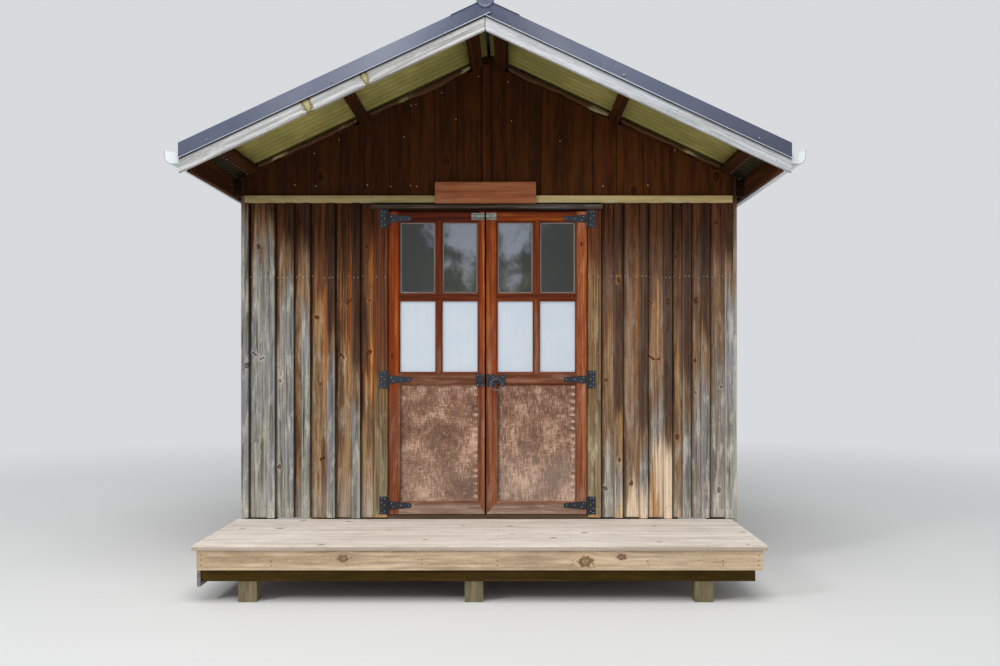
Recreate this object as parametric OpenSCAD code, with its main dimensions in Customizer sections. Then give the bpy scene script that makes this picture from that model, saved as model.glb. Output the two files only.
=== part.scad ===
// A small timber cabin with board and batten walls, a gabled corrugated
// iron roof, a pair of glazed doors and a deck on stumps.
// The front of the house faces -Y, and the stumps stand on Z = 0.

/* [Ground and deck] */
// Height of the deck top above the lowest ground
deck_h = 320; // [300:5:420]
// Length of a deck board
deck_w = 3088; // [3000:4:3100]
// Distance of the deck's middle from the house's middle
deck_shift = -26; // [-30:1:0]
// Width of a deck board
deck_board_w = 138; // [130:1:145]
// Thickness of a deck board
deck_board_t = 27; // [22:1:32]
// Gap between two deck boards
deck_gap = 5.5; // [4:0.5:8]
// Number of deck boards
deck_boards_n = 6; // [5:1:7]
// Height of the board across the deck's front
deck_fascia_h = 108; // [95:1:115]
// Thickness of the board across the deck's front
deck_fascia_t = 25; // [20:1:30]
// Distance from one deck joist to the next
deck_joist_pitch = 404; // [380:2:420]
// Width of a stump
stump_w = 100; // [90:5:110]

/* [Walls] */
// Width over the wall boards
house_w = 3060; // [3050:2:3070]
// Depth over the wall boards
house_d = 3200; // [2800:50:4000]
// Thickness of a wall board
board_t = 20; // [18:1:21]
// Thickness of a batten or door trim on the front wall
batten_t = 20; // [18:1:20]
// Width of a cover batten
batten_w = 50; // [40:1:55]
// Distance from one cover batten to the next on the sides and back
batten_pitch = 157; // [140:1:200]
// Thickness of a batten or corner board on the side walls
side_batten_t = 22; // [18:1:24]
// Width of a corner board
corner_w = 70; // [50:1:90]
// Depth of a wall stud
stud_d = 90; // [80:5:95]
// Thickness of a stud, plate, dwang or joist
stud_t = 45; // [40:1:45]
// Height of the wall plates' top above the deck
plate_up = 2045; // [2040:1:2050]
// Underside of the cream band above the deck
band_up = 1980; // [1975:1:1985]
// Height of the cream band
band_h = 45; // [40:1:50]

/* [Roof] */
// Slope of the roof in degrees
pitch = 25; // [24.5:0.1:25.5]
// Underside of the roof iron at the ridge, above the deck
ridge_up = 2913; // [2905:1:2920]
// Roof overhang past the front wall
front_over = 800; // [600:10:820]
// Roof overhang past the back wall
back_over = 250; // [200:10:600]
// Distance from the house's middle to the end of a barge board
barge_x = 1670; // [1665:1:1680]
// Distance from one corrugation to the next
corr_pitch = 76.2; // [70:0.1:80]
// Height of a corrugation
corr_h = 17; // [15:0.5:19]
// Thickness of the roof iron, flashings and gutters
iron_t = 2; // [1.5:0.5:2]
// Depth of a rafter
rafter_d = 140; // [135:1:145]
// Width of a purlin, which lies flat
purlin_w = 70; // [60:1:75]
// Thickness of a purlin
purlin_t = 50; // [45:1:50]
// Thickness of a barge board
barge_t = 25; // [20:1:30]
// Outer face of a gutter from the house's middle
gutter_x = 1760; // [1750:1:1770]

/* [Doors] */
// Left edge of the left leaf from the house's middle
door_x0 = -629; // [-632:1:-626]
// Width of the left leaf
left_leaf_w = 602; // [590:1:610]
// Width of the right leaf
right_leaf_w = 630; // [620:1:640]
// Gap between a leaf and its jamb or head
leaf_gap = 6; // [5:0.5:7]
// Gap between the two leaves
meet_gap = 9; // [8:0.5:9]
// Thickness of a leaf
leaf_t = 40; // [38:1:40]
// Width of a leaf's stiles
stile_w = 73; // [70:1:80]
// Width of the left leaf's stile at the meeting line
meeting_stile_w = 45; // [45:1:60]
// Width of the bar between two panes
muntin_w = 46; // [40:1:50]
// Underside of the leaves above the deck
door_up = 29; // [29:1:32]
// Width of a door trim
trim_w = 83; // [80:1:86]
// Length of a hinge strap
strap_l = 148; // [130:1:160]
// Outer radius of the ring handle
ring_r = 40; // [36:1:42]

/* [Hidden] */
$fn = 48;
play = 2;
slim = 1;

// Heights
function up(h) = deck_h + h;
floor_z = up(24);
floor_t = 20;
joist_h = 90;
plate_z = up(plate_up);
band_z = up(band_up);
wall_foot_z = up(10);
side_foot_z = up(-120);
ridge_z = up(ridge_up);

// Places along Y
deck_clear = 22;
deck_d = deck_boards_n * deck_board_w + (deck_boards_n - 1) * deck_gap;
total_d = deck_d + deck_clear + house_d + back_over;
deck_y = -total_d / 2;
wall_y = deck_y + deck_d + deck_clear;
back_y = wall_y + house_d;
roof_y = wall_y - front_over;
roof_end_y = back_y + back_over;
hem = 6;
lap_gap = 0.2;
barge_y = hem + 2 * iron_t + lap_gap;
iron_y = barge_y + barge_t;

// Places along X
wall_x = house_w / 2;
frame_x = wall_x - board_t;
deck_x0 = deck_shift - deck_w / 2;
deck_x1 = deck_shift + deck_w / 2;
left_x1 = door_x0 + left_leaf_w;
right_x0 = left_x1 + meet_gap;
door_x1 = right_x0 + right_leaf_w;
open_x0 = door_x0 - leaf_gap;
open_x1 = door_x1 + leaf_gap;
jamb_t = 24;
rough_x0 = open_x0 - jamb_t;
rough_x1 = open_x1 + jamb_t;
face_y = wall_y - batten_t;

// Levels of a leaf's rails above the deck, from the foot to the top
rails = [door_up, 109, 838, 921, 1363, 1414, 1857, 1924];
door_top_z = up(rails[7]);
door_foot_z = up(rails[0]);

// Heights of the dwangs and of the hinges above the deck
dwang_ups = [556, 1036, 1516];
hinge_ups = [1880, 873, 85];

// Middles of the cover battens on the front wall
left_battens = [-1368, -1250, -1148, -991, -834];
right_battens = [812, 969, 1122, 1240, 1357];

// Middles of the purlins, measured down the slope from the ridge
purlin_s = [100, 883, 1656];

// Middles of the studs
front_studs = [-frame_x + stud_t / 2, -1100, rough_x0 - stud_t / 2,
               rough_x1 + stud_t / 2, 1100, frame_x - stud_t / 2];
back_studs_n = 6;
back_studs = [for (i = [0:back_studs_n - 1])
    (i / (back_studs_n - 1) - 0.5) * (2 * frame_x - stud_t)];
side_studs_n = 6;
side_y0 = wall_y + board_t + stud_d + 10 + stud_t / 2;
side_y1 = back_y - board_t - stud_d - 10 - stud_t / 2;
side_studs = [for (i = [0:side_studs_n - 1])
    side_y0 + (side_y1 - side_y0) * i / (side_studs_n - 1)];
rafters_n = 5;
rafter_ys = [for (i = [0:rafters_n - 1])
    wall_y + board_t + (house_d - 2 * board_t - stud_t) * i / (rafters_n - 1)];

// Colours
weathered = "#c9c4bc";
fresh_pine = "#c8af87";
dark_brown = "#3c2413";
wall_brown = "#7a5c42";
cream = "#ac9b5f";
red_brown = "#8c4420";
iron_blue = "#69718a";
iron_black = "#232a34";
steel = "#b9bcc0";
framing = "#b7a071";

// A box given by its lowest corner and its highest corner
module span(a, b) {
    translate(a) cube(b - a);
}

// The frame of the right slope: X runs down the slope from the ridge,
// Z is square to the roof, and Z = 0 is the underside of the iron
module slope() {
    translate([0, 0, ridge_z]) rotate([0, pitch, 0]) children();
}

// Draws its children on the right side of the house and on the left
module both_sides() {
    children();
    mirror([1, 0, 0]) children();
}

// Height of a line parallel to the slope, at a distance n square to it
function slope_z(x, n) = ridge_z + n / cos(pitch) - abs(x) * tan(pitch);

// A point given in the slope's frame, as X and Z of the house
function slope_xz(s, n) =
    [s * cos(pitch) + n * sin(pitch),
     ridge_z - s * sin(pitch) + n * cos(pitch)];

// Extrudes an outline drawn in X and Z along Y from y0 to y1
module along_y(y0, y1) {
    translate([0, y1, 0]) rotate([90, 0, 0]) linear_extrude(y1 - y0) children();
}

// Extrudes an outline drawn in Y and Z along X from x0 to x1
module along_x(x0, x1) {
    translate([x0, 0, 0]) rotate([90, 0, 90]) linear_extrude(x1 - x0) children();
}

// A folded strip: the path and the same path moved t to its left
function unit(v) = v / norm(v);
function left_of(v) = [-v[1], v[0]];
function edge_normal(p, i) = left_of(unit(p[i + 1] - p[i]));
function mitre(p, i) =
    let (a = edge_normal(p, max(i - 1, 0)),
         b = edge_normal(p, min(i, len(p) - 2)))
    (a + b) / (1 + a * b);
function strip(p, t) =
    concat(p, [for (i = [len(p) - 1:-1:0]) p[i] + t * mitre(p, i)]);
function arc(c, r, a0, a1, n) =
    [for (i = [0:n]) let (a = a0 + (a1 - a0) * i / n)
        c + r * [cos(a), sin(a)]];

// Foundation and floor
pile_top_z = floor_z - floor_t - 2 * joist_h;
deck_joist_z = up(-deck_board_t - joist_h);
deck_pile_top_z = deck_joist_z - joist_h;
pile_rows = [wall_y + 150, (wall_y + back_y) / 2, back_y - 150];
pile_xs = [-1400, 0, 1400];
deck_pile_xs = [-1290, -60, 1190];
deck_bearer_x = [-1544, 1469];
deck_pile_y = deck_y + 120;

module piles() {
    color(weathered) {
        for (y = pile_rows, x = pile_xs)
            translate([x - stump_w / 2, y - stump_w / 2, 0])
                cube([stump_w, stump_w, pile_top_z]);
        for (x = deck_pile_xs)
            translate([x - stump_w / 2, deck_pile_y - stump_w / 2, 0])
                cube([stump_w, stump_w, deck_pile_top_z]);
    }
}

module bearers() {
    color(framing) {
        for (y = pile_rows)
            span([-frame_x + 5, y - joist_h / 2, pile_top_z],
                 [frame_x - 5, y + joist_h / 2, pile_top_z + joist_h]);
        span([deck_bearer_x[0], deck_pile_y - joist_h / 2, deck_pile_top_z],
             [deck_bearer_x[1], deck_pile_y + joist_h / 2, deck_joist_z]);
    }
}

module floor_joists() {
    bays = 7;
    pitch_x = (2 * frame_x - stud_t) / bays;
    color(framing)
        for (i = [0:bays])
            span([-frame_x + i * pitch_x, wall_y + board_t, pile_top_z + joist_h],
                 [-frame_x + i * pitch_x + stud_t, back_y - board_t,
                  floor_z - floor_t]);
}

module floor_boards() {
    color(fresh_pine)
        span([-frame_x, wall_y + board_t, floor_z - floor_t],
             [frame_x, back_y - board_t, floor_z]);
}

// Deck
ledger_y = wall_y - 25;
nosing = 12;
fascia_end = 23;

module deck_ledger() {
    color(framing)
        span([-frame_x, ledger_y, deck_joist_z],
             [deck_x1 - fascia_end, wall_y + board_t, up(-deck_board_t)]);
}

module deck_joists() {
    x0 = deck_x0 + fascia_end;
    x1 = deck_x1 - fascia_end - stud_t;
    first = 380;
    color(framing)
        for (x = concat([x0, x1], [for (i = [0:6]) x0 + first + i * deck_joist_pitch]))
            span([x, deck_y + nosing + deck_fascia_t, deck_joist_z],
                 [x + stud_t, ledger_y, up(-deck_board_t)]);
}

module deck_fascia() {
    color(fresh_pine)
        span([deck_x0 + fascia_end, deck_y + nosing,
              up(-deck_board_t - deck_fascia_h)],
             [deck_x1 - fascia_end, deck_y + nosing + deck_fascia_t,
              up(-deck_board_t)]);
}

module deck_side_board() {
    board_h = 100;
    color(weathered)
        span([deck_bearer_x[0] - 18, deck_pile_y - joist_h / 2 - 10,
              deck_joist_z - 18 - board_h],
             [deck_bearer_x[0], ledger_y, deck_joist_z - 18]);
}

module deck_boards() {
    color(weathered)
        for (i = [0:deck_boards_n - 1])
            translate([deck_x0, deck_y + i * (deck_board_w + deck_gap),
                       up(-deck_board_t)])
                cube([deck_w, deck_board_w, deck_board_t]);
}

// Wall framing
frame_y = [wall_y + board_t, wall_y + board_t + stud_d];
frame_back_y = [back_y - board_t - stud_d, back_y - board_t];
low_plate_top = floor_z + stud_t;
lintel_z = plate_z - 2 * stud_t;

module end_plates() {
    color(framing) {
        span([-frame_x, frame_y[0], floor_z],
             [rough_x0, frame_y[1], low_plate_top]);
        span([rough_x1, frame_y[0], floor_z],
             [frame_x, frame_y[1], low_plate_top]);
        span([-frame_x, frame_y[0], plate_z - stud_t],
             [frame_x, frame_y[1], plate_z]);
        for (z = [floor_z, plate_z - stud_t])
            span([-frame_x, frame_back_y[0], z],
                 [frame_x, frame_back_y[1], z + stud_t]);
    }
}

module side_plates() {
    color(framing)
        both_sides()
            for (z = [floor_z, plate_z - stud_t])
                span([frame_x - stud_d, frame_y[1], z],
                     [frame_x, frame_back_y[0], z + stud_t]);
}

// A short stud under the rafters of an end wall, cut on the slope
module gable_stud(x, y) {
    n = -purlin_t - rafter_d;
    along_y(y, y + stud_t)
        polygon([[x - stud_t / 2, plate_z], [x + stud_t / 2, plate_z],
                 [x + stud_t / 2, slope_z(x + stud_t / 2, n)],
                 [x - stud_t / 2, slope_z(x - stud_t / 2, n)]]);
}

module studs() {
    color(framing) {
        for (x = front_studs)
            span([x - stud_t / 2, frame_y[0], low_plate_top],
                 [x + stud_t / 2, frame_y[1], plate_z - stud_t]);
        for (x = back_studs)
            span([x - stud_t / 2, frame_back_y[0], low_plate_top],
                 [x + stud_t / 2, frame_back_y[1], plate_z - stud_t]);
        both_sides()
            for (y = side_studs)
                span([frame_x - stud_d, y - stud_t / 2, low_plate_top],
                     [frame_x, y + stud_t / 2, plate_z - stud_t]);
        for (y = [frame_y[0], frame_back_y[1] - stud_t], x = [-1000, -500, 500, 1000])
            gable_stud(x, y);
    }
}

// Dwangs between the studs at the middles m, lying along X
module dwangs_x(m, y, skip) {
    for (i = [0:len(m) - 2], h = dwang_ups)
        if (i != skip)
            span([m[i] + stud_t / 2, y[0], up(h) - stud_t / 2],
                 [m[i + 1] - stud_t / 2, y[1], up(h) + stud_t / 2]);
}

module dwangs() {
    doorway = 2;
    color(framing) {
        dwangs_x(front_studs, frame_y, doorway);
        dwangs_x(back_studs, frame_back_y, -1);
        both_sides()
            for (i = [0:side_studs_n - 2], h = dwang_ups)
                span([frame_x - stud_d, side_studs[i] + stud_t / 2,
                      up(h) - stud_t / 2],
                     [frame_x, side_studs[i + 1] - stud_t / 2,
                      up(h) + stud_t / 2]);
        // The lintel over the doorway
        span([rough_x0, frame_y[0], lintel_z],
             [rough_x1, frame_y[1], plate_z - stud_t]);
    }
}

// Roof framing
ridge_board_t = 25;
eave_x = 1605;
fascia_t = 29;
fascia_foot_z = up(2025);
side_top_z = slope_z(wall_x, -purlin_t) - play;

// Outline of a rafter: plumb cuts at both ends, and notched over the plate
module rafter_outline() {
    top = -purlin_t;
    foot = -purlin_t - rafter_d;
    x0 = ridge_board_t / 2;
    heel_x = (slope_z(0, foot) - plate_z) / tan(pitch);
    polygon([[x0, slope_z(x0, top)], [eave_x, slope_z(eave_x, top)],
             [eave_x, fascia_foot_z], [frame_x, fascia_foot_z],
             [frame_x, plate_z], [heel_x, plate_z], [x0, slope_z(x0, foot)]]);
}

module rafters() {
    color(framing)
        both_sides()
            for (y = rafter_ys)
                along_y(y, y + stud_t) rafter_outline();
}

module ridge_board() {
    x = ridge_board_t / 2;
    color(framing)
        span([-x, wall_y + board_t, slope_z(x, -purlin_t - rafter_d) - 20],
             [x, back_y - board_t, slope_z(x, -purlin_t)]);
}

// The purlins of one slope, grown by g on every side
module purlin_row(g) {
    slope()
        for (s = purlin_s)
            span([s - purlin_w / 2 - g, roof_y + iron_y, -purlin_t - g],
                 [s + purlin_w / 2 + g, roof_end_y - iron_y, g]);
}

module purlins() {
    color(dark_brown) both_sides() purlin_row(0);
}

// Wall boards and cover battens
module batten(x, w, z0, z1) {
    span([x - w / 2, face_y, z0], [x + w / 2, wall_y, z1]);
}

module front_wall_left() {
    first_w = 22;
    color(wall_brown) {
        span([-wall_x, wall_y, wall_foot_z], [rough_x0, wall_y + board_t, band_z]);
        for (x = left_battens)
            batten(x, batten_w, wall_foot_z, band_z);
        batten(-wall_x + first_w / 2, first_w, wall_foot_z, band_z);
    }
}

module front_wall_right() {
    last_w = 49;
    color(wall_brown) {
        span([rough_x1, wall_y, wall_foot_z], [wall_x, wall_y + board_t, band_z]);
        for (x = right_battens)
            batten(x, batten_w, wall_foot_z, band_z);
        batten(wall_x - last_w / 2, last_w, wall_foot_z, band_z);
    }
}

// Outline of an end wall between the height z0 and the roof
module gable_outline(z0) {
    under_iron = 12;
    polygon([[-wall_x, z0], [wall_x, z0],
             [wall_x, slope_z(wall_x, 0) - under_iron],
             [0, ridge_z - under_iron],
             [-wall_x, slope_z(wall_x, 0) - under_iron]]);
}

module front_gable() {
    middle = -13;
    color(dark_brown)
        difference() {
            union() {
                along_y(wall_y, wall_y + board_t) gable_outline(band_z);
                batten(middle, batten_w, band_z + band_h, ridge_z - 60);
            }
            both_sides() purlin_row(play);
        }
}

// A side wall on the right: boards notched round the rafters, cover
// battens, and a corner board at each end
module side_wall() {
    n = floor((house_d - 2 * corner_w) / batten_pitch);
    first = (wall_y + back_y - (n - 1) * batten_pitch) / 2;
    batten_top = fascia_foot_z - play;
    out_x = wall_x + side_batten_t;
    difference() {
        span([frame_x, wall_y + board_t, side_foot_z],
             [wall_x, back_y - board_t, side_top_z]);
        for (y = rafter_ys)
            span([frame_x - slim, y - play, batten_top],
                 [wall_x + slim, y + stud_t + play, side_top_z + slim]);
    }
    for (i = [0:n - 1])
        span([wall_x, first + i * batten_pitch - batten_w / 2, side_foot_z],
             [out_x, first + i * batten_pitch + batten_w / 2, batten_top]);
    for (end = [0, 1])
        translate([0, end * (wall_y + back_y), 0]) mirror([0, end, 0]) {
            span([wall_x, wall_y - batten_t, side_foot_z],
                 [out_x, wall_y - batten_t + corner_w, batten_top]);
            span([wall_x, wall_y - batten_t, side_foot_z],
                 [out_x, wall_y + board_t - play, side_top_z]);
        }
}

module left_wall() {
    color(wall_brown) mirror([1, 0, 0]) side_wall();
}

module right_wall() {
    color(wall_brown) side_wall();
}

module back_wall() {
    n = floor((house_w - 2 * corner_w) / batten_pitch);
    first = -(n - 1) * batten_pitch / 2;
    color(wall_brown)
        difference() {
            union() {
                along_y(back_y - board_t, back_y) gable_outline(side_foot_z);
                for (i = [0:n - 1])
                    let (x = first + i * batten_pitch)
                    span([x - batten_w / 2, back_y, side_foot_z],
                         [x + batten_w / 2, back_y + batten_t, band_z + band_h]);
                for (x = [-wall_x, wall_x - corner_w])
                    span([x, back_y, side_foot_z],
                         [x + corner_w, back_y + batten_t, band_z + band_h]);
            }
            both_sides() purlin_row(play);
        }
}

module cream_band() {
    color(cream)
        span([-wall_x, face_y, band_z], [wall_x - 5, wall_y, band_z + band_h]);
}

// Door surround
drip_z = up(1942);
drip_x = [-735, 709];

module door_trims() {
    color(wall_brown) {
        span([open_x0 - trim_w, face_y, wall_foot_z], [open_x0, wall_y, drip_z]);
        span([open_x1, face_y, wall_foot_z], [open_x1 + trim_w, wall_y, drip_z]);
    }
}

stop_w = 15;
stop_y = [wall_y - batten_t + leaf_t + 5, wall_y - batten_t + leaf_t + 20];
head_z = door_top_z + leaf_gap;

module door_jambs() {
    color(red_brown) {
        span([rough_x0, wall_y, floor_z], [open_x0, frame_y[1], lintel_z]);
        span([open_x0, stop_y[0], floor_z], [open_x0 + stop_w, stop_y[1], head_z]);
        span([open_x1, wall_y, floor_z], [rough_x1, frame_y[1], lintel_z]);
        span([open_x1 - stop_w, stop_y[0], floor_z], [open_x1, stop_y[1], head_z]);
    }
}

module door_head() {
    color(red_brown) {
        span([open_x0, wall_y, head_z], [open_x1, frame_y[1], lintel_z]);
        span([open_x0 + stop_w, stop_y[0], head_z - stop_w],
             [open_x1 - stop_w, stop_y[1], head_z]);
    }
}

module drip_board() {
    out = 50;
    color(weathered)
        along_x(drip_x[0], drip_x[1])
            polygon([[wall_y - out, drip_z], [wall_y, drip_z],
                     [wall_y, band_z - 4], [wall_y - out, band_z - 18]]);
}

module door_sill() {
    color(dark_brown)
        span([open_x0, face_y, up(-deck_board_t)],
             [open_x1, wall_y + board_t, floor_z]);
}

module sign_board() {
    color("#8c4b2d")
        span([-337, face_y - 18, up(1972)], [294, face_y, up(2108)]);
}

// Roof iron: facets of a wave, with a flat one in each valley so that
// the sheet sits on the purlins
module iron_outline(y0, y1) {
    facets = 8;
    step = corr_pitch / facets;
    n = floor((y1 - y0) / step);
    function wave(k) =
        corr_h / 2 * (1 - cos((k + 0.5) * 360 / facets) / cos(180 / facets));
    low = [for (k = [0:n]) [y0 + k * step, wave(k)]];
    polygon(concat(low, [for (k = [n:-1:0]) low[k] + [0, iron_t]]));
}

module roof_iron() {
    s0 = 8;
    s1 = (barge_x + 5) / cos(pitch);
    slope() along_x(s0, s1) iron_outline(roof_y + iron_y, roof_end_y - iron_y);
}

module roof_left() {
    color(iron_blue) mirror([1, 0, 0]) roof_iron();
}

module roof_right() {
    color(iron_blue) roof_iron();
}

// Heights square to the roof: the crests of the iron, and the barge top
crest_n = corr_h + iron_t;
barge_n = 40;
barge_drop = 118;

module barge_boards() {
    rise = barge_n / cos(pitch);
    color(weathered)
        both_sides()
            for (y = [roof_y + barge_y, roof_end_y - iron_y])
                along_y(y, y + barge_t)
                    polygon([[0.5, slope_z(0.5, 0) - barge_drop],
                             [barge_x, slope_z(barge_x, 0) - barge_drop],
                             [barge_x, slope_z(barge_x, 0) + rise],
                             [0.5, slope_z(0.5, 0) + rise]]);
}

// Barge flashing: a hemmed face over the barge board, a flange over the
// first corrugations and a lip turned down to the crests
flange_w = 132;
flashing_foot = -29;
function flashing_path(y) =
    [[y, flashing_foot - hem], [y + hem, flashing_foot], [y + hem, barge_n + iron_t],
     [flange_w, barge_n + iron_t], [flange_w + 14, crest_n + iron_t]];

// The flashing of the right slope. The one that lies under is cut plumb at
// the ridge, and the one that laps over it is cut square to the slope
module barge_flashing(over) {
    square_cut = -14.6;
    far = 2 * barge_x;
    intersection() {
        slope()
            along_x(over ? square_cut : -far, far)
                polygon(strip(flashing_path(over ? 0 : iron_t + lap_gap), -iron_t));
        span([over ? -far : 0.5, -10, 0], [barge_x + 2, flange_w + 30, 2 * ridge_z]);
    }
}

module end_flashings(over) {
    translate([0, roof_y, 0]) barge_flashing(over);
    translate([0, roof_end_y, 0]) mirror([0, 1, 0]) barge_flashing(over);
}

module barge_flashings() {
    color(iron_blue) {
        end_flashings(false);
        mirror([1, 0, 0]) end_flashings(true);
    }
}

// Ridge cap: two wings with lips turned down to the crests, a round roll
// along the ridge, and a disc that closes the roll at each end
cap_s = 187;
cap_n = barge_n + 2 * iron_t + lap_gap;
roll_r = 48;
cap_top_z = slope_z(0, cap_n);

// The same point on the other side of the house
function other_side(p) = [-p[0], p[1]];

module ridge_cap() {
    wing = slope_xz(cap_s, cap_n);
    lip = slope_xz(cap_s + 13, crest_n + iron_t);
    roll = arc([0, cap_top_z], roll_r, -pitch, 180 + pitch, 12);
    wings = concat([wing], roll, [other_side(wing)]);
    lipped = concat([lip], wings, [other_side(lip)]);
    end_l = flange_w + 20;
    inset = 3;
    color(iron_blue) {
        along_y(roof_y + inset, roof_end_y - inset) polygon(strip(wings, iron_t));
        along_y(roof_y + end_l, roof_end_y - end_l) polygon(strip(lipped, iron_t));
        for (y = [roof_y + inset - iron_t, roof_end_y - inset])
            along_y(y, y + iron_t) translate([0, cap_top_z]) circle(roll_r);
    }
}

module fascia_boards() {
    x1 = eave_x + fascia_t;
    color(fresh_pine)
        both_sides()
            along_y(roof_y + iron_y, roof_end_y - iron_y)
                polygon([[eave_x, fascia_foot_z], [x1, fascia_foot_z],
                         [x1, slope_z(x1, -slim)], [eave_x, slope_z(eave_x, -slim)]]);
}

// Gutter: a back against the fascia, a flat sole and a curved front
gutter_back_x = eave_x + fascia_t;
gutter_foot_z = up(2068);
gutter_path = concat([[gutter_back_x, up(2140)], [gutter_back_x, gutter_foot_z]],
                     arc([gutter_x - 46, gutter_foot_z + 42], 42, -90, 0, 6),
                     [[gutter_x - 4, up(2136)], [gutter_x, up(2145)]]);
gutter_end = concat([[gutter_back_x, up(2115)]],
                    [for (i = [1:len(gutter_path) - 1]) gutter_path[i]]);

module gutters() {
    y0 = roof_y + iron_y + 2;
    y1 = roof_end_y - iron_y - 2;
    color("#eceeee")
        both_sides() {
            along_y(y0, y1) polygon(strip(gutter_path, iron_t));
            for (y = [y0, y1 - iron_t])
                along_y(y, y + iron_t) polygon(gutter_end);
        }
}

// Doors: each leaf is a frame with four panes over a panel
tongue = 10;
glass_t = 4;
panel_t = 9;
leaf_mid_y = face_y + leaf_t / 2;

// Columns of a leaf: the stile at x0, a bar, and the stile at x1
function columns(x0, x1, w0, w1) =
    let (mid = (x0 + w0 + x1 - w1) / 2)
    [x0, x0 + w0, mid - muntin_w / 2, mid + muntin_w / 2, x1 - w1, x1];
left_cols = columns(door_x0, left_x1, stile_w, meeting_stile_w);
right_cols = columns(right_x0, door_x1, stile_w, stile_w);

// A plate of thickness t in the middle of a leaf, let g into the frame
module infill(x0, x1, z0, z1, t, g) {
    span([x0 - g, leaf_mid_y - t / 2, z0 - g], [x1 + g, leaf_mid_y + t / 2, z1 + g]);
}

// The four panes of a leaf
module panes(c, t, g) {
    for (i = [1, 3], k = [3, 5])
        infill(c[i], c[i + 1], up(rails[k]), up(rails[k + 1]), t, g);
}

// The lower panel of a leaf
module panel(c, t, g) {
    infill(c[1], c[4], up(rails[1]), up(rails[2]), t, g);
}

module leaf_frame(c) {
    color(red_brown)
        difference() {
            span([c[0], face_y, door_foot_z], [c[5], face_y + leaf_t, door_top_z]);
            panes(c, leaf_t + 2, 0);
            panes(c, glass_t, tongue);
            panel(c, leaf_t + 2, 0);
            panel(c, panel_t, tongue);
        }
}

module left_door_frame() { leaf_frame(left_cols); }

module right_door_frame() { leaf_frame(right_cols); }

module left_door_panel() { color("#7d5a46") panel(left_cols, panel_t, tongue); }

module right_door_panel() { color("#7d5a46") panel(right_cols, panel_t, tongue); }

module left_glass() { color("#c8d2dc") panes(left_cols, glass_t, tongue); }

module right_glass() { color("#c8d2dc") panes(right_cols, glass_t, tongue); }

// T hinges: a plate and two knuckles on the trim, a strap and one knuckle
// on the leaf, and a pin through all three
hinge_t = 3;
knuckle_r = 5.5;
pin_r = 2.5;
pin_play = 0.5;
plate_w = 45;
plate_h = 110;
knuckle_h = 40;
pivot_y = face_y - knuckle_r;
left_pivot_x = (open_x0 + door_x0) / 2;
right_pivot_x = (open_x1 + door_x1) / 2;

// The strap of a hinge whose pivot is at X = 0, reaching to the right
module strap() {
    root_h = 52;
    tip_r = 15;
    translate([0, pivot_y, 0]) difference() {
        union() {
            cylinder(r = knuckle_r, h = knuckle_h, center = true);
            translate([0, knuckle_r, 0]) rotate([90, 0, 0]) linear_extrude(hinge_t)
                union() {
                    polygon([[3.5, -knuckle_h / 2], [7, -knuckle_h / 2],
                             [14, -root_h / 2], [strap_l - tip_r, -tip_r],
                             [strap_l - tip_r, tip_r], [14, root_h / 2],
                             [7, knuckle_h / 2], [3.5, knuckle_h / 2]]);
                    translate([strap_l - tip_r, 0]) circle(tip_r);
                }
            span([0, knuckle_r - hinge_t, -knuckle_h / 2],
                 [4, knuckle_r, knuckle_h / 2]);
        }
        cylinder(r = pin_r + pin_play, h = knuckle_h + 2, center = true);
    }
}

// The fixed half of that hinge, reaching to the left
module hinge_plate() {
    gap = 1;
    end_h = (plate_h - knuckle_h) / 2 - gap;
    translate([0, pivot_y, 0]) {
        cylinder(r = pin_r, h = plate_h, center = true);
        for (m = [0, 1]) mirror([0, 0, m]) {
            translate([0, 0, knuckle_h / 2 + gap]) cylinder(r = knuckle_r, h = end_h);
            span([-8, knuckle_r - hinge_t, knuckle_h / 2 + gap],
                 [0, knuckle_r, plate_h / 2]);
        }
        span([-8 - plate_w, knuckle_r - hinge_t, -plate_h / 2],
             [-8, knuckle_r, plate_h / 2]);
    }
}

module left_straps() {
    color(iron_black)
        for (h = hinge_ups) translate([left_pivot_x, 0, up(h)]) strap();
}

module right_straps() {
    color(iron_black)
        for (h = hinge_ups) translate([right_pivot_x, 0, up(h)])
            mirror([1, 0, 0]) strap();
}

module hinge_plates() {
    color(iron_black)
        for (h = hinge_ups) {
            translate([left_pivot_x, 0, up(h)]) hinge_plate();
            translate([right_pivot_x, 0, up(h)]) mirror([1, 0, 0]) hinge_plate();
        }
}

// Bolt across the meeting line, drawn back, and its keeper. Each has a
// base plate, a half round body and a collar, seen on the leaf's face
bolt_z = up(1893);
bolt_h = 43;
bolt_r = 6.5;
bolt_y = face_y - 9;

// A plate on the leaf's face from x0 to x1, as high as the bolt
module bolt_plate(x0, x1) {
    span([x0, face_y - hinge_t, bolt_z - bolt_h / 2], [x1, face_y, bolt_z + bolt_h / 2]);
}

// A housing from x0 to x1: a round tunnel on a wider foot, flat at the back
module housing(x0, x1, r, foot) {
    difference() {
        union() {
            translate([x0, bolt_y, bolt_z]) rotate([0, 90, 0]) cylinder(r = r, h = x1 - x0);
            span([x0, bolt_y + 2, bolt_z - foot / 2], [x1, face_y, bolt_z + foot / 2]);
        }
        span([x0 - slim, face_y, bolt_z - r - slim], [x1 + slim, face_y + r, bolt_z + r + slim]);
    }
}

module door_bolt() {
    x0 = left_x1 - 82;
    x1 = left_x1 - slim;
    color(steel) {
        bolt_plate(x0, x1);
        housing(x0, x0 + 13, 12, bolt_h - 4);
        housing(x0 + 20, x0 + 24, 14, 34);
        housing(x0 + 34, x1, 14, 34);
        translate([x0 + 13, bolt_y, bolt_z]) rotate([0, 90, 0])
            cylinder(r = bolt_r, h = x1 - x0 - 13);
    }
}

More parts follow.
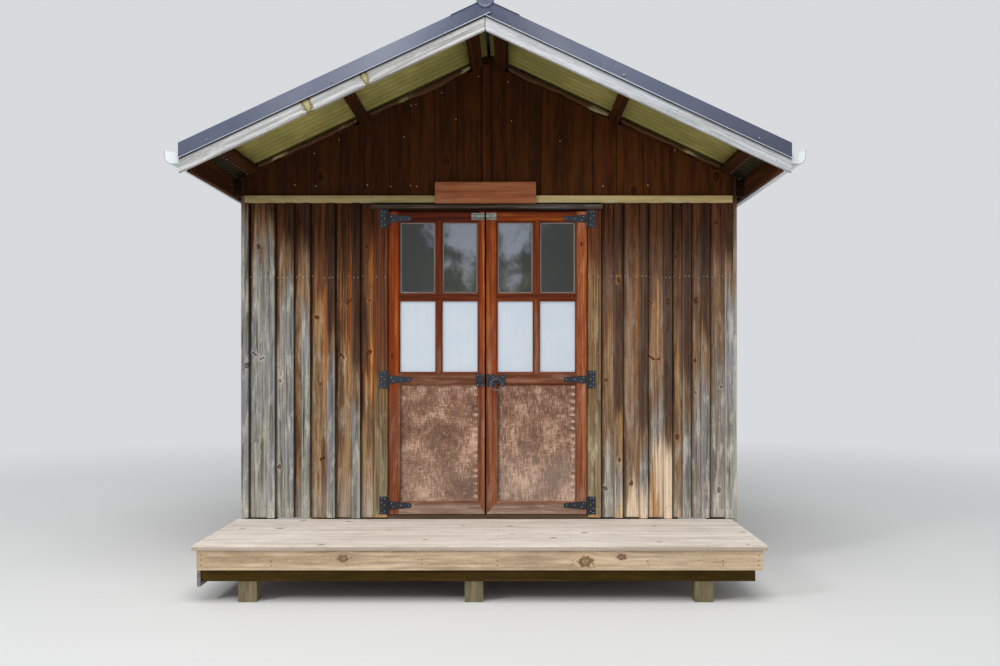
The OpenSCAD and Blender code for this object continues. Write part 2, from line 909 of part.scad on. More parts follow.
module bolt_keeper() {
    x0 = right_x0 + slim;
    x1 = x0 + 63;
    color(steel)
        difference() {
            union() {
                bolt_plate(x0, x1);
                housing(x0, x0 + 25, 14, 34);
                housing(x0 + 38, x1 - 4, 12, 24);
            }
            translate([x0 - slim, bolt_y, bolt_z]) rotate([0, 90, 0])
                cylinder(r = bolt_r + pin_play, h = 36);
        }
}

// Ring latch on the right leaf, and its catch on the left leaf
latch_x = 46;
latch_z = up(878);
spindle_r = 4;
ring_wire_r = 4;
ring_y = face_y - 19;
guide_t = 9;

// A plate on the leaf's face with two round lobes above and two below
module lobed_plate(x0, x1, h, lobe_r) {
    rotate([90, 0, 0]) linear_extrude(hinge_t) {
        translate([x0, -h / 2]) square([x1 - x0, h]);
        for (x = [x0 + lobe_r, x1 - lobe_r], z = [-h / 2, h / 2])
            translate([x, z]) circle(lobe_r);
    }
}

module latch_plate() {
    color(iron_black) {
        translate([0, face_y, up(868)]) lobed_plate(right_x0 + 3, right_x0 + 28, 60, 10);
        translate([0, face_y, up(868)]) lobed_plate(right_x0 + 26, right_x0 + 122, 44, 17);
        span([right_x0 + 5, face_y - guide_t, up(858)],
             [right_x0 + 30, face_y, up(884)]);
        translate([latch_x, face_y, latch_z]) rotate([90, 0, 0])
            cylinder(r = spindle_r, h = face_y - ring_y + ring_wire_r + 4);
    }
}

module latch_catch() {
    color(iron_black) {
        translate([0, face_y, up(868)]) lobed_plate(left_x1 - 56, left_x1 - 3, 60, 12);
        span([left_x1 - 50, face_y - 16, up(858)], [left_x1 - 5, face_y, up(892)]);
    }
}

module ring_handle() {
    mid_r = ring_r - ring_wire_r;
    boss_l = 22;
    color(iron_black)
        translate([latch_x, 0, latch_z]) difference() {
            union() {
                translate([0, face_y - hinge_t - 1, 0]) rotate([90, 0, 0])
                    cylinder(r = 9, h = boss_l);
                translate([0, ring_y, -mid_r]) rotate([90, 0, 0])
                    rotate_extrude() translate([mid_r, 0]) circle(ring_wire_r, $fn = 24);
            }
            translate([0, face_y, 0]) rotate([90, 0, 0])
                cylinder(r = spindle_r + pin_play, h = 60);
        }
}

piles();
bearers();
floor_joists();
floor_boards();
deck_ledger();
deck_joists();
deck_fascia();
deck_side_board();
deck_boards();
end_plates();
side_plates();
studs();
dwangs();
rafters();
ridge_board();
purlins();
front_wall_left();
front_wall_right();
front_gable();
left_wall();
right_wall();
back_wall();
cream_band();
door_trims();
door_jambs();
door_head();
drip_board();
door_sill();
sign_board();
roof_left();
roof_right();
ridge_cap();
barge_boards();
barge_flashings();
fascia_boards();
gutters();
left_door_frame();
right_door_frame();
left_door_panel();
right_door_panel();
left_glass();
right_glass();
left_straps();
right_straps();
hinge_plates();
door_bolt();
bolt_keeper();
latch_plate();
latch_catch();
ring_handle();
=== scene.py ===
"""The looks of a small timber beach house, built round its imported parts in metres.

X runs to the right, Y from the deck to the back, Z up. Boards, folded iron and glass are surfaces
worked out with numpy, and each finish is a node material that reads the marks on the mesh.
"""

import logging
import math
from dataclasses import dataclass
from enum import Enum
from typing import Callable, Sequence, Union

import bpy
import numpy as np
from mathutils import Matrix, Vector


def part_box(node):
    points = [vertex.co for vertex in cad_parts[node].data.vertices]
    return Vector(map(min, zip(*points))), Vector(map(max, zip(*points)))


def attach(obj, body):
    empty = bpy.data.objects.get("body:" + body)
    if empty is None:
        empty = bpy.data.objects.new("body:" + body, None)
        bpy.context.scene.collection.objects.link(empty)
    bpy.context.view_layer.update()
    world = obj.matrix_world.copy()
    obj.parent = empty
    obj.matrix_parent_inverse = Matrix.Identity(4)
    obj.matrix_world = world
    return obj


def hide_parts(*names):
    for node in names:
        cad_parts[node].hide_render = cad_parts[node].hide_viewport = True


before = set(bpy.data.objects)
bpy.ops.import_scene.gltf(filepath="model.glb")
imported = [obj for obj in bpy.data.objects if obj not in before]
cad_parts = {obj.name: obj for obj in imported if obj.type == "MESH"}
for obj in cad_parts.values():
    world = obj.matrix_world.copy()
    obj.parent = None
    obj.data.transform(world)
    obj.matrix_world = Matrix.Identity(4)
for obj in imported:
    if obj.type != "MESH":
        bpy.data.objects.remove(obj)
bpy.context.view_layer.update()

log = logging.getLogger("beach_house")
Array = np.ndarray
Colour = tuple[float, float, float, float]
Span = tuple[float, float]
Cut = Callable[[Array, Array], Array]
End = Union[float, Cut]
Mark = Union[Array, Callable[[Array], Array]]

DECK = 0.320
WALL_Y = -1.28625
FACE_Y = -1.30625
BACK_Y = 1.91375
ROOF_Y = -2.08625
ROOF_END_Y = 2.16375
WALL_X = 1.530
RIDGE_Z = 3.233
PITCH = math.radians(25)
BAND_Z = DECK + 1.980
COS, SIN, LEAN = math.cos(PITCH), math.sin(PITCH), math.tan(PITCH)
RIDGE = (0.0, 0.0, RIDGE_Z)
DOWN, SQUARE = (COS, 0.0, -SIN), (SIN, 0.0, COS)
RIGHT, FRONT, BACK, UP = (1.0, 0.0, 0.0), (0.0, -1.0, 0.0), (0.0, 1.0, 0.0), (0.0, 0.0, 1.0)
# Back and face of a wall board, and of a batten or trim that lies on it
BOARD, COVER = (-0.020, 0.0), (0.0, 0.020)
# Heights of the nails, their places beside a batten's middle, and a head's radius and height
NAIL_ROWS = (DECK + 0.075, DECK + 0.556, DECK + 1.036, DECK + 1.516)
NAIL_PAIR = (-0.011, 0.011)
NAIL = (0.0028, 0.0010)
SHEET = 0.0016
MARKS = ("grain", "fade", "tint", "glow", "knot_across", "knot_along")
MOST_KNOTS, NO_KNOT = 3, 99.0


def rgb(red: float, green: float, blue: float) -> Colour:
    """Gives a colour written in screen values of 0 to 255 as linear light."""
    parts = [c / 255 for c in (red, green, blue)]
    light = [c / 12.92 if c < 0.04045 else ((c + 0.055) / 1.055) ** 2.4 for c in parts]
    return (light[0], light[1], light[2], 1.0)


# Meshes


@dataclass(frozen=True)
class Wear:
    """How one board has weathered.

    Heights are metres above the ground: below them the stain is worn, the wood is grey, or it is
    bare. Warm, dark, chill (a grey haze in the stain), lit (a painted orange highlight along the
    last edge, where light falls on it) and gleam (golden streaks) are shares from 0 to 1. A knot
    is a share of the width and a place along.
    """

    worn: float = -9.0
    grey: float = -9.0
    warm: float = 0.4
    dark: float = 0.3
    knots: tuple[Span, ...] = ()
    chill: float = 0.2
    bare: float = -9.0
    lit: float = 0.0
    gleam: float = 0.0

    def marks(self, seed: float) -> dict[str, Array]:
        """Gives the marks that the timber reads."""
        return {"fade": np.array([self.worn, self.grey, self.bare]),
                "tint": np.array([seed, self.chill, self.dark]),
                "glow": np.array([self.warm, self.lit, self.gleam])}


@dataclass(frozen=True)
class Place:
    """Where a piece lies: its origin, the way its grain runs and the way its face looks."""

    origin: tuple[float, float, float] = (0.0, 0.0, 0.0)
    along: tuple[float, float, float] = (0.0, 0.0, 1.0)
    out: tuple[float, float, float] = (0.0, -1.0, 0.0)

    def points(self, across: Array, along: Array, out: Array) -> Array:
        """Gives the points at distances across, along and out from the origin.

        Across is along x out, so that the three make a right-handed frame.
        """
        side = np.cross(self.along, self.out)
        parts = (across[..., None] * side + along[..., None] * np.array(self.along)
                 + out[..., None] * np.array(self.out))
        return parts + np.array(self.origin)


class Pile:
    """Gathers points, faces and marks for one mesh."""

    def __init__(self) -> None:
        """Starts with nothing in it."""
        self.points: list[Array] = []
        self.faces: list[Array] = []
        self.slots: list[Array] = []
        self.smooth: list[Array] = []
        self.marks: dict[str, list[Array]] = {name: [] for name in MARKS}
        self.count = 0

    def add(self, points: Array, faces: Sequence[Array], marks: dict[str, Array] | None = None,
            slot: int = 0, smooth: bool = False, mirror: bool = False) -> None:
        """Adds a closed surface.

        Args:
            points: The points, in any grid shape, three numbers each.
            faces: Arrays of point numbers, one row a face.
            marks: Values for each point, or one for all of them.
            slot: Number of the material slot.
            smooth: Whether light runs smoothly over the faces.
            mirror: Whether it is set on the other side of X = 0, with its faces turned round.
        """
        flat = np.asarray(points, float).reshape(-1, 3)
        if mirror:
            flat = flat * (-1.0, 1.0, 1.0)
            faces = [rows[:, ::-1] for rows in faces]
        blank = {"knot_across": NO_KNOT, "knot_along": NO_KNOT}
        for name in MARKS:
            value = (marks or {}).get(name, blank.get(name, 0.0))
            self.marks[name].append(np.broadcast_to(np.asarray(value, float), flat.shape))
        for rows in faces:
            self.faces.append(rows + self.count)
            self.slots.append(np.full(len(rows), slot))
            self.smooth.append(np.full(len(rows), smooth))
        self.points.append(flat)
        self.count += len(flat)

    def piece(self, name: str, body: str, materials: Sequence[bpy.types.Material],
              stands_for: Sequence[str] = (), slot: str = "") -> bpy.types.Object:
        """Makes the mesh and puts it on its body.

        Args:
            name: Name of the piece.
            body: The body it moves with.
            materials: One for each slot.
            stands_for: CAD nodes that it replaces.
            slot: The record's material slot; it is not used.

        Returns:
            The new object, at the origin.
        """
        mesh = bpy.data.meshes.new(name)
        points = np.concatenate(self.points)
        sizes = np.concatenate([np.full(len(rows), rows.shape[1]) for rows in self.faces])
        corners = np.concatenate([rows.ravel() for rows in self.faces])
        mesh.vertices.add(len(points))
        mesh.vertices.foreach_set("co", points.ravel())
        mesh.loops.add(len(corners))
        mesh.loops.foreach_set("vertex_index", corners.astype(np.int32))
        mesh.polygons.add(len(sizes))
        starts = np.concatenate([[0], np.cumsum(sizes)[:-1]]).astype(np.int32)
        mesh.polygons.foreach_set("loop_start", starts)
        mesh.polygons.foreach_set("material_index", np.concatenate(self.slots).astype(np.int32))
        mesh.update(calc_edges=True)
        mesh.polygons.foreach_set("use_smooth", np.concatenate(self.smooth))
        for mark in MARKS:
            layer = mesh.attributes.new(mark, "FLOAT_VECTOR", "POINT")
            layer.data.foreach_set("vector", np.concatenate(self.marks[mark]).ravel())
        for material in materials:
            mesh.materials.append(material)
        mesh.validate()
        piece = bpy.data.objects.new(name, mesh)
        bpy.context.scene.collection.objects.link(piece)
        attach(piece, body)
        if stands_for:
            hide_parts(*stands_for)
        log.info("%s: %d faces on %s", name, len(sizes), body)
        return piece


def rounded(u: Span, w: Span, radius: float, steps: int = 2) -> Array:
    """Gives a rectangle with round corners, clockwise with u to the right and w up.

    Each corner is its centre plus radius times (cosine, sine) over a quarter turn.
    """
    r = min(radius, 0.49 * (u[1] - u[0]), 0.49 * (w[1] - w[0]))
    turn = np.linspace(0, 90, steps + 1)
    angles = np.radians(np.concatenate([180 - turn, 90 - turn, -turn, -90 - turn]))
    centre_u = np.repeat([u[0] + r, u[1] - r, u[1] - r, u[0] + r], steps + 1)
    centre_w = np.repeat([w[1] - r, w[1] - r, w[0] + r, w[0] + r], steps + 1)
    return np.stack([centre_u + r * np.cos(angles), centre_w + r * np.sin(angles)], axis=1)


def eased(path: Sequence[Span], radius: float, steps: int = 3) -> Array:
    """Rounds the corners of a path: each one is a parabola between its two neighbours.

    With a and b at the given distance before and after the corner c, a point of it is
    (1-t)^2 a + 2t(1-t) c + t^2 b.
    """
    line = np.asarray(path, float)
    parts = [line[:1]]
    t = np.linspace(0, 1, steps + 1)[:, None]
    for before, corner, after in zip(line[:-2], line[1:-1], line[2:]):
        back, on = before - corner, after - corner
        reach = min(radius, 0.45 * np.linalg.norm(back), 0.45 * np.linalg.norm(on))
        a = corner + back / np.linalg.norm(back) * reach
        b = corner + on / np.linalg.norm(on) * reach
        parts.append((1 - t) ** 2 * a + 2 * t * (1 - t) * corner + t ** 2 * b)
    return np.concatenate(parts + [line[-1:]])


def thickened(path: Array, thick: float) -> Array:
    """Gives the outline of a strip: the path, then the same path moved to its left, backwards.

    At each point the move is the sum of the two edge normals over 1 plus their product.
    """
    edges = np.diff(path, axis=0)
    edges /= np.linalg.norm(edges, axis=1)[:, None]
    normals = np.stack([-edges[:, 1], edges[:, 0]], axis=1)
    first = np.concatenate([normals[:1], normals])
    last = np.concatenate([normals, normals[-1:]])
    move = (first + last) / (1 + np.sum(first * last, axis=1))[:, None]
    return np.concatenate([path, (path + thick * move)[::-1]])


def clockwise(ring: Array) -> Array:
    """Turns an outline so that it runs clockwise: its signed area is below zero."""
    x, y = ring[:, 0], ring[:, 1]
    area = np.sum(x * np.roll(y, -1) - np.roll(x, -1) * y)
    return ring if area < 0 else ring[::-1]


def grain_of(across: Array, edge: Union[Array, float]) -> Callable[[Array], Array]:
    """Gives what makes the grain marks: metres across, from the first edge, and along."""

    def grain(v: Array) -> Array:
        """Gives the marks of the points at their places along."""
        return np.stack([np.broadcast_to(across, v.shape), np.broadcast_to(edge, v.shape), v],
                        axis=-1).reshape(-1, 3)

    return grain


def slanted(start: float, by_u: float = 0.0, by_w: float = 0.0) -> Cut:
    """Gives a slanted end of an outline: a start plus shares of its two coordinates."""

    def end(u: Array, w: Array) -> Array:
        """Gives the place along of each point."""
        return start + by_u * u + by_w * w

    return end


def carried(pile: Pile, place: Place, ring: Array, ends: tuple[End, End],
            marks: dict[str, Mark] | None = None, caps: Sequence[Array] | None = None,
            slot: int = 0, smooth: bool = False, mirror: bool = False) -> None:
    """Carries a clockwise outline along its place and closes both ends.

    A point is outline (u, w) at its first or last end, each a number or a function of u and w.
    Where no caps are given, one face closes each end.
    """
    u, w = ring[:, 0], ring[:, 1]
    v = np.stack([end(u, w) if callable(end) else np.full(len(ring), float(end)) for end in ends])
    points = place.points(np.broadcast_to(u, v.shape), v, np.broadcast_to(w, v.shape))
    i = np.arange(len(ring))
    j = np.roll(i, -1)
    faces = [np.stack([i, j, j + len(ring), i + len(ring)], axis=-1)]
    for cap in [i[None, :]] if caps is None else caps:
        faces += [cap + len(ring), cap[:, ::-1]]
    values = {name: value(v) if callable(value) else value for name, value in (marks or {}).items()}
    pile.add(points, faces, values, slot, smooth, mirror)


def board(pile: Pile, place: Place, u: Span, ends: tuple[End, End], w: Span, wear: Wear,
          rng: np.random.Generator, radius: float = 0.002, slot: int = 0,
          mirror: bool = False, random_knots: float = 0.0) -> None:
    """Adds one board with round edges and the marks that its timber reads.

    Args:
        pile: What it is added to.
        place: Where it lies.
        u: Its two edges across the grain.
        ends: Its two ends along the grain.
        w: Its back and its face.
        wear: How it has weathered.
        rng: The source of its chance values.
        radius: Radius of its edges.
        slot: Material slot.
        mirror: Whether it is on the other side of X = 0.
        random_knots: Knots for each metre, where the wear names none.
    """
    ring = rounded(u, w, radius)
    middle, width = (u[0] + u[1]) / 2, u[1] - u[0]
    across = ring[:, 0] - middle + (ring[:, 1] - w[1]) * 0.8
    knots = [((share - 0.5) * width, at) for share, at in wear.knots]
    stops = [end(ring[:, 0], ring[:, 1]).mean() if callable(end) else end for end in ends]
    if not knots and random_knots:
        number = min(MOST_KNOTS, rng.poisson(abs(stops[1] - stops[0]) * random_knots))
        knots = [((rng.uniform(0.2, 0.8) - 0.5) * width, rng.uniform(min(stops), max(stops)))
                 for _ in range(number)]
    hearts, heights = np.array((knots + [(NO_KNOT, NO_KNOT)] * MOST_KNOTS)[:MOST_KNOTS]).T
    marks = {"grain": grain_of(across, ring[:, 0] - u[0]), **wear.marks(rng.random()),
             "knot_across": hearts, "knot_along": heights}
    carried(pile, place, ring, ends, marks, slot=slot, mirror=mirror)


def folded(pile: Pile, place: Place, path: Array, thick: float, ends: tuple[End, End],
           mirror: bool = False) -> None:
    """Adds a folded sheet: a path with thickness to its left, carried along the place."""
    ring = clockwise(thickened(path, thick))
    i = np.arange(len(path) - 1)
    last = len(ring) - 1
    ladder = np.stack([i, i + 1, last - i - 1, last - i], axis=1)
    carried(pile, place, ring, ends, caps=[ladder], smooth=True, mirror=mirror)


def shell(pile: Pile, upper: Array, lower: Array, lower_slot: int = 0,
          mirror: bool = False) -> None:
    """Joins two grids of points, rows x columns, into one closed sheet.

    The upper grid looks outwards where rows x columns does, and the rim closes the two.
    """
    rows, cols = upper.shape[:2]
    number = np.arange(rows * cols).reshape(rows, cols)
    quads = np.stack([number[:-1, :-1], number[1:, :-1], number[1:, 1:], number[:-1, 1:]],
                     axis=-1).reshape(-1, 4)
    rim = np.concatenate([number[0, :-1], number[:-1, -1], number[-1, :0:-1], number[:0:-1, 0]])
    ahead, under = np.roll(rim, -1), rows * cols
    walls = np.stack([rim, ahead, ahead + under, rim + under], axis=1)
    points = np.concatenate([upper.reshape(-1, 3), lower.reshape(-1, 3)])
    pile.add(points, [quads, walls, quads[:, ::-1] + under], smooth=True, mirror=mirror)
    pile.slots[-1][:] = lower_slot


def heads(pile: Pile, centres: Sequence[Sequence[float]], out: Sequence[float], radius: float,
          height: float, sides: int = 8) -> None:
    """Adds a low round head at each centre.

    A head is a part of a ball: radius * sine and height * cosine of an angle from 90 degrees at
    its rim to 0 at its top.
    """
    middles = np.asarray(centres, float).reshape(-1, 3)
    if not len(middles):
        return
    outward = np.asarray(out, float) / np.linalg.norm(out)
    side = np.cross(outward, (0.31, 0.53, 0.79))
    side /= np.linalg.norm(side)
    up = np.cross(outward, side)
    tilt = np.radians([90, 60, 30])[:, None]
    turn = np.linspace(0, 2 * np.pi, sides, endpoint=False)[None, :]
    a = radius * np.sin(tilt) * np.cos(turn)
    b = radius * np.sin(tilt) * np.sin(turn)
    c = height * np.cos(tilt) * np.ones_like(turn)
    ring = (a[..., None] * side + b[..., None] * up + c[..., None] * outward).reshape(-1, 3)
    sunk = ring[:sides] - outward * 0.0006
    one = np.concatenate([sunk, ring, [outward * height]])
    points = (middles[:, None, :] + one[None]).reshape(-1, 3)
    i = np.arange(sides)
    j = np.roll(i, -1)
    levels = np.arange(3)[:, None] * sides
    walls = np.stack([levels + i, levels + j, levels + j + sides, levels + i + sides], axis=-1)
    crown = np.stack([i + 3 * sides, j + 3 * sides, np.full(sides, 4 * sides)], axis=1)
    base = i[::-1][None, :]
    step = np.arange(len(middles))[:, None, None] * len(one)
    faces = [(step + rows[None]).reshape(-1, rows.shape[1])
             for rows in (walls.reshape(-1, 4), crown, base)]
    pile.add(points, faces, smooth=True)


# Node trees


@dataclass(frozen=True)
class Field:
    """A value that varies over a surface: one output of a node tree, with plain arithmetic."""

    net: "Net"
    socket: bpy.types.NodeSocket

    def __add__(self, other: "Value") -> "Field":
        """Adds."""
        return self.net.math("ADD", self, other)

    def __sub__(self, other: "Value") -> "Field":
        """Takes the other away."""
        return self.net.math("SUBTRACT", self, other)

    def __rsub__(self, other: float) -> "Field":
        """Is taken away from a number."""
        return self.net.math("SUBTRACT", other, self)

    def __mul__(self, other: "Value") -> "Field":
        """Multiplies."""
        return self.net.math("MULTIPLY", self, other)

    def __truediv__(self, other: "Value") -> "Field":
        """Divides."""
        return self.net.math("DIVIDE", self, other)

    __radd__ = __add__
    __rmul__ = __mul__


Value = Union[Field, float, tuple]


class Net:
    """Writes a node tree as formulas."""

    def __init__(self, tree: bpy.types.NodeTree) -> None:
        """Takes the tree that it writes."""
        self.tree = tree

    def node(self, kind: str, feeds: dict[str | int, Value],
             **settings: object) -> bpy.types.Node:
        """Adds a node with its settings and feeds its inputs."""
        made = self.tree.nodes.new("ShaderNode" + kind)
        for key, value in settings.items():
            setattr(made, key, value)
        for key, value in feeds.items():
            self.feed(made.inputs[key], value)
        return made

    def feed(self, socket: bpy.types.NodeSocket, value: Value) -> None:
        """Links a field to a socket, or sets a plain value on it."""
        if isinstance(value, Field):
            self.tree.links.new(value.socket, socket)
        else:
            socket.default_value = value

    def math(self, kind: str, *values: Value) -> Field:
        """Gives the result of a Math node."""
        made = self.node("Math", dict(enumerate(values)), operation=kind)
        return Field(self, made.outputs[0])

    def join(self, x: Value, y: Value, z: Value) -> Field:
        """Makes a vector of three numbers."""
        return Field(self, self.node("CombineXYZ", {0: x, 1: y, 2: z}).outputs[0])

    def split(self, vector: Field) -> tuple[Field, Field, Field]:
        """Gives the three numbers of a vector."""
        made = self.node("SeparateXYZ", {0: vector})
        return tuple(Field(self, out) for out in made.outputs)

    def noise(self, at: Field, scale: Value = 1.0, detail: float = 2.0, rough: float = 0.5,
              bend: float = 0.0) -> Field:
        """Gives smooth noise of about 0.3 to 0.7."""
        made = self.node("TexNoise", {"Vector": at, "Scale": scale, "Detail": detail,
                                      "Roughness": rough, "Distortion": bend})
        return Field(self, made.outputs[0])

    def flow(self, x: Value, y: Value, z: Value, detail: float = 2.0, rough: float = 0.5,
             bend: float = 0.0) -> Field:
        """Gives smooth noise that three numbers stretch."""
        return self.noise(self.join(x, y, z), 1.0, detail, rough, bend)

    def rise(self, x: Value, low: Value, high: Value) -> Field:
        """Gives a smooth step from 0 where x is low to 1 where x is high."""
        made = self.node("MapRange", {"Value": x, "From Min": low, "From Max": high},
                         interpolation_type="SMOOTHSTEP")
        return Field(self, made.outputs[0])

    def mix(self, a: Value, b: Value, share: Value) -> Field:
        """Mixes two colours."""
        made = self.node("Mix", {0: share, 6: a, 7: b}, data_type="RGBA")
        return Field(self, made.outputs[2])

    def shade(self, colour: Value, amount: Value) -> Field:
        """Multiplies a colour by a number."""
        made = self.node("VectorMath", {0: colour, 3: amount}, operation="SCALE")
        return Field(self, made.outputs[0])

    def mark(self, name: str) -> Field:
        """Reads a vector mark of the mesh."""
        return Field(self, self.node("Attribute", {}, attribute_name=name).outputs["Vector"])

    def here(self) -> Field:
        """Gives the place on the object, in metres."""
        return Field(self, self.node("TexCoord", {}).outputs["Object"])

    def bump(self, height: Field, distance: float) -> Field:
        """Turns a height into a normal."""
        made = self.node("Bump", {"Height": height, "Distance": distance, "Strength": 1.0})
        return Field(self, made.outputs[0])

    def coat(self, colour: Value, rough: Value, normal: Field | None = None,
             more: dict[str, Value] | None = None) -> None:
        """Feeds the tree's Principled shader, and sets plain values on its own sockets."""
        inputs = self.tree.nodes["Principled BSDF"].inputs
        feeds = {"Base Color": colour, "Roughness": rough, "Normal": normal, **(more or {})}
        for key, value in feeds.items():
            if value is not None:
                self.feed(inputs[key], value)

    def use(self, effect: "Effect", feeds: dict[str, Value]) -> dict[str, Field]:
        """Places an effect and gives its outputs by name."""
        made = self.tree.nodes.new("ShaderNodeGroup")
        made.node_tree = effect.tree
        for key, value in feeds.items():
            self.feed(made.inputs[key], value)
        return {out.name: Field(self, out) for out in made.outputs}


class Effect:
    """A node group with named inputs and outputs, built once and placed in many materials."""

    def __init__(self, name: str, inputs: dict[str, Value], outputs: Sequence[str]) -> None:
        """Makes the group's sockets: a tuple of three is a vector, else a number."""
        self.tree = bpy.data.node_groups.new(name, "ShaderNodeTree")
        for key, value in inputs.items():
            kind = "NodeSocketVector" if isinstance(value, tuple) else "NodeSocketFloat"
            made = self.tree.interface.new_socket(name=key, in_out="INPUT", socket_type=kind)
            made.default_value = value
        for key in outputs:
            self.tree.interface.new_socket(name=key, in_out="OUTPUT",
                                           socket_type="NodeSocketFloat")
        self.net = Net(self.tree)
        self.inlet = self.tree.nodes.new("NodeGroupInput")
        self.outlet = self.tree.nodes.new("NodeGroupOutput")

    def __getitem__(self, key: str) -> Field:
        """Gives an input of the group."""
        return Field(self.net, self.inlet.outputs[key])

    def give(self, values: dict[str, Field]) -> "Effect":
        """Links the outputs of the group."""
        for key, value in values.items():
            self.net.feed(self.outlet.inputs[key], value)
        return self


def grain_effect() -> Effect:
    """Builds rings, streaks, fibres and knots of sawn timber.

    Fibres run round a knot like water round a post: the place across is moved by
    d R^2 / max(r^2, R^2), where d is the distance across from the knot's heart and r the distance
    from it. A ring is where the distance to the pith, the root of (across^2 + depth^2), passes a
    whole number of ring widths, and the depth wanders along the board, which gives arches.
    Tilted knots are spikes that run up to the board's edge, the steeper the nearer they are to it.
    """
    effect = Effect("timber_grain",
                    {"Grain": (0.0, 0.0, 0.0), "Tint": (0.0, 0.0, 0.0),
                     "Knot across": (9.0, 9.0, 9.0), "Knot along": (9.0, 9.0, 9.0),
                     "Knot size": 0.012, "Knot stretch": 0.62, "Knot tilt": 0.0,
                     "Knot reach": 2.2, "Ring width": 0.01, "Streak width": 0.02},
                    ("Rings", "Streaks", "Patches", "Mottle", "Fibres", "Specks", "Cracks",
                     "Gleams", "Knots", "Rims", "Halo", "Whorls"))
    net = effect.net
    across, _, along = net.split(effect["Grain"])
    seed, _, _ = net.split(effect["Tint"])
    bent = across + (net.flow(seed * 90, along * 0.9, 0.0, detail=1.0) - 0.5) * 0.03
    ragged = 1.0 + (net.flow(across * 90, along * 60, seed * 10, detail=2.0) - 0.5) * 1.5
    nearest: Value = 99.0
    for heart, height, share in zip(net.split(effect["Knot across"]),
                                    net.split(effect["Knot along"]), (1.0, 0.75, 0.6)):
        size = effect["Knot size"] * share
        off = across - heart
        spike = net.math("MINIMUM", net.math("ABSOLUTE", heart) * effect["Knot tilt"] * 1.6, 1.0)
        away = ((along - height - off * heart * effect["Knot tilt"]) * effect["Knot stretch"]
                * (1.0 + spike * 0.9))
        off = off * (1.0 - spike * 0.68)
        square = off * off + away * away
        reach = size * size * effect["Knot reach"]
        bent = bent - off * reach / net.math("MAXIMUM", square, reach)
        nearest = net.math("MINIMUM", nearest, net.math("SQRT", square) * ragged / size)
    pith = bent + (net.math("FRACT", seed * 7.13) - 0.5) * 0.11
    depth = net.flow(seed * 61, along * 0.42, 3.0, detail=1.0) * 0.075 - 0.012
    wavy = net.flow(bent * 30, along * 1.4, seed * 33, detail=1.0)
    phase = net.math("SQRT", pith * pith + depth * depth) / effect["Ring width"] + wavy * 0.9
    rings = net.math("POWER", net.math("SINE", phase * 6.2832) * 0.5 + 0.5, 2.2)
    wide = net.flow(bent / effect["Streak width"], along * 1.1, seed * 70, detail=3.0, rough=0.6)
    short = net.flow(bent / effect["Streak width"] * 2.6, along * 6.0, seed * 31, detail=3.0,
                     rough=0.65)
    patches = net.flow(bent * 24, along * 1.6, seed * 53, detail=2.0)
    mottle = net.flow(bent * 26, along * 5.0, seed * 12, detail=4.0, rough=0.68)
    fibres = net.flow(bent * 380, along * 9.0, seed * 50, detail=2.0, rough=0.6)
    specks = net.flow(bent * 210, along * 55.0, seed * 9, detail=1.0)
    split = net.flow(bent * 75, along * 1.7, seed * 25, detail=2.0)
    gleams = net.flow(bent * 56, along * 0.9, seed * 17, detail=1.5)
    rims = net.rise(nearest, 0.55, 0.95) * net.rise(nearest, 1.7, 1.1)
    return effect.give({
        "Rings": rings, "Streaks": wide * 0.58 + short * 0.42, "Patches": patches,
        "Mottle": mottle, "Fibres": fibres, "Specks": net.rise(specks, 0.64, 0.72),
        "Gleams": net.rise(gleams, 0.60, 0.69),
        "Cracks": net.rise(split, 0.61, 0.68), "Knots": net.rise(nearest, 1.05, 0.85),
        "Rims": rims, "Halo": net.rise(nearest, 3.6, 1.1),
        "Whorls": net.math("SINE", nearest * 15.0) * 0.5 + 0.5})


def fading_effect() -> Effect:
    """Builds the ragged borders between stain, worn wood and grey wood.

    The height gets noise stretched along the fibres, like flames, and each border is a smooth
    step round the height that the board's marks name.
    """
    effect = Effect("timber_fading", {"Grain": (0.0, 0.0, 0.0), "Tint": (0.0, 0.0, 0.0),
                                      "Fade": (0.0, 0.0, 0.0), "Height": 0.0, "Ragged": 0.4},
                    ("Worn", "Grey", "Bare"))
    net = effect.net
    across, _, along = net.split(effect["Grain"])
    seed, _, _ = net.split(effect["Tint"])
    worn, grey, bare = net.split(effect["Fade"])
    flames = net.flow(across * 26, along * 1.3, seed * 40, detail=3.0) - 0.5
    ticks = net.flow(across * 170, along * 5.0, seed * 20, detail=1.0) - 0.5
    level = effect["Height"] + (flames * 1.6 + ticks * 0.6) * effect["Ragged"]
    return effect.give({"Worn": net.rise(level, worn + 0.11, worn - 0.11),
                        "Grey": net.rise(level, grey + 0.14, grey - 0.14),
                        "Bare": net.rise(level, bare + 0.10, bare - 0.10)})


def dirt_effect() -> Effect:
    """Builds soft blotches, fine specks and long runs of dirt that go down with Z."""
    effect = Effect("surface_dirt", {"Place": (0.0, 0.0, 0.0)}, ("Blotches", "Specks", "Runs"))
    net = effect.net
    x, y, z = net.split(effect["Place"])
    blotches = net.noise(effect["Place"], scale=7.0, detail=4.0, rough=0.6)
    specks = net.rise(net.noise(effect["Place"], scale=160.0, detail=2.0), 0.62, 0.72)
    runs = net.flow((x + y) * 20.0, (x - y) * 20.0, z * 1.3, detail=2.0)
    return effect.give({"Blotches": net.rise(blotches, 0.35, 0.65), "Specks": specks,
                        "Runs": net.rise(runs, 0.45, 0.7)})


GRAIN = grain_effect()
FADING = fading_effect()
DIRT = dirt_effect()


def surface(name: str) -> tuple[bpy.types.Material, Net]:
    """Makes a material with a Principled shader, and gives it with its net."""
    material = bpy.data.materials.new(name)
    material.use_nodes = True
    return material, Net(material.node_tree)


class Run(Enum):
    """Where a timber reads its grain: from the marks, or along an axis of a CAD node."""

    MARKED = "marked"
    ALONG_X = "x"
    ALONG_Y = "y"
    ALONG_Z = "z"


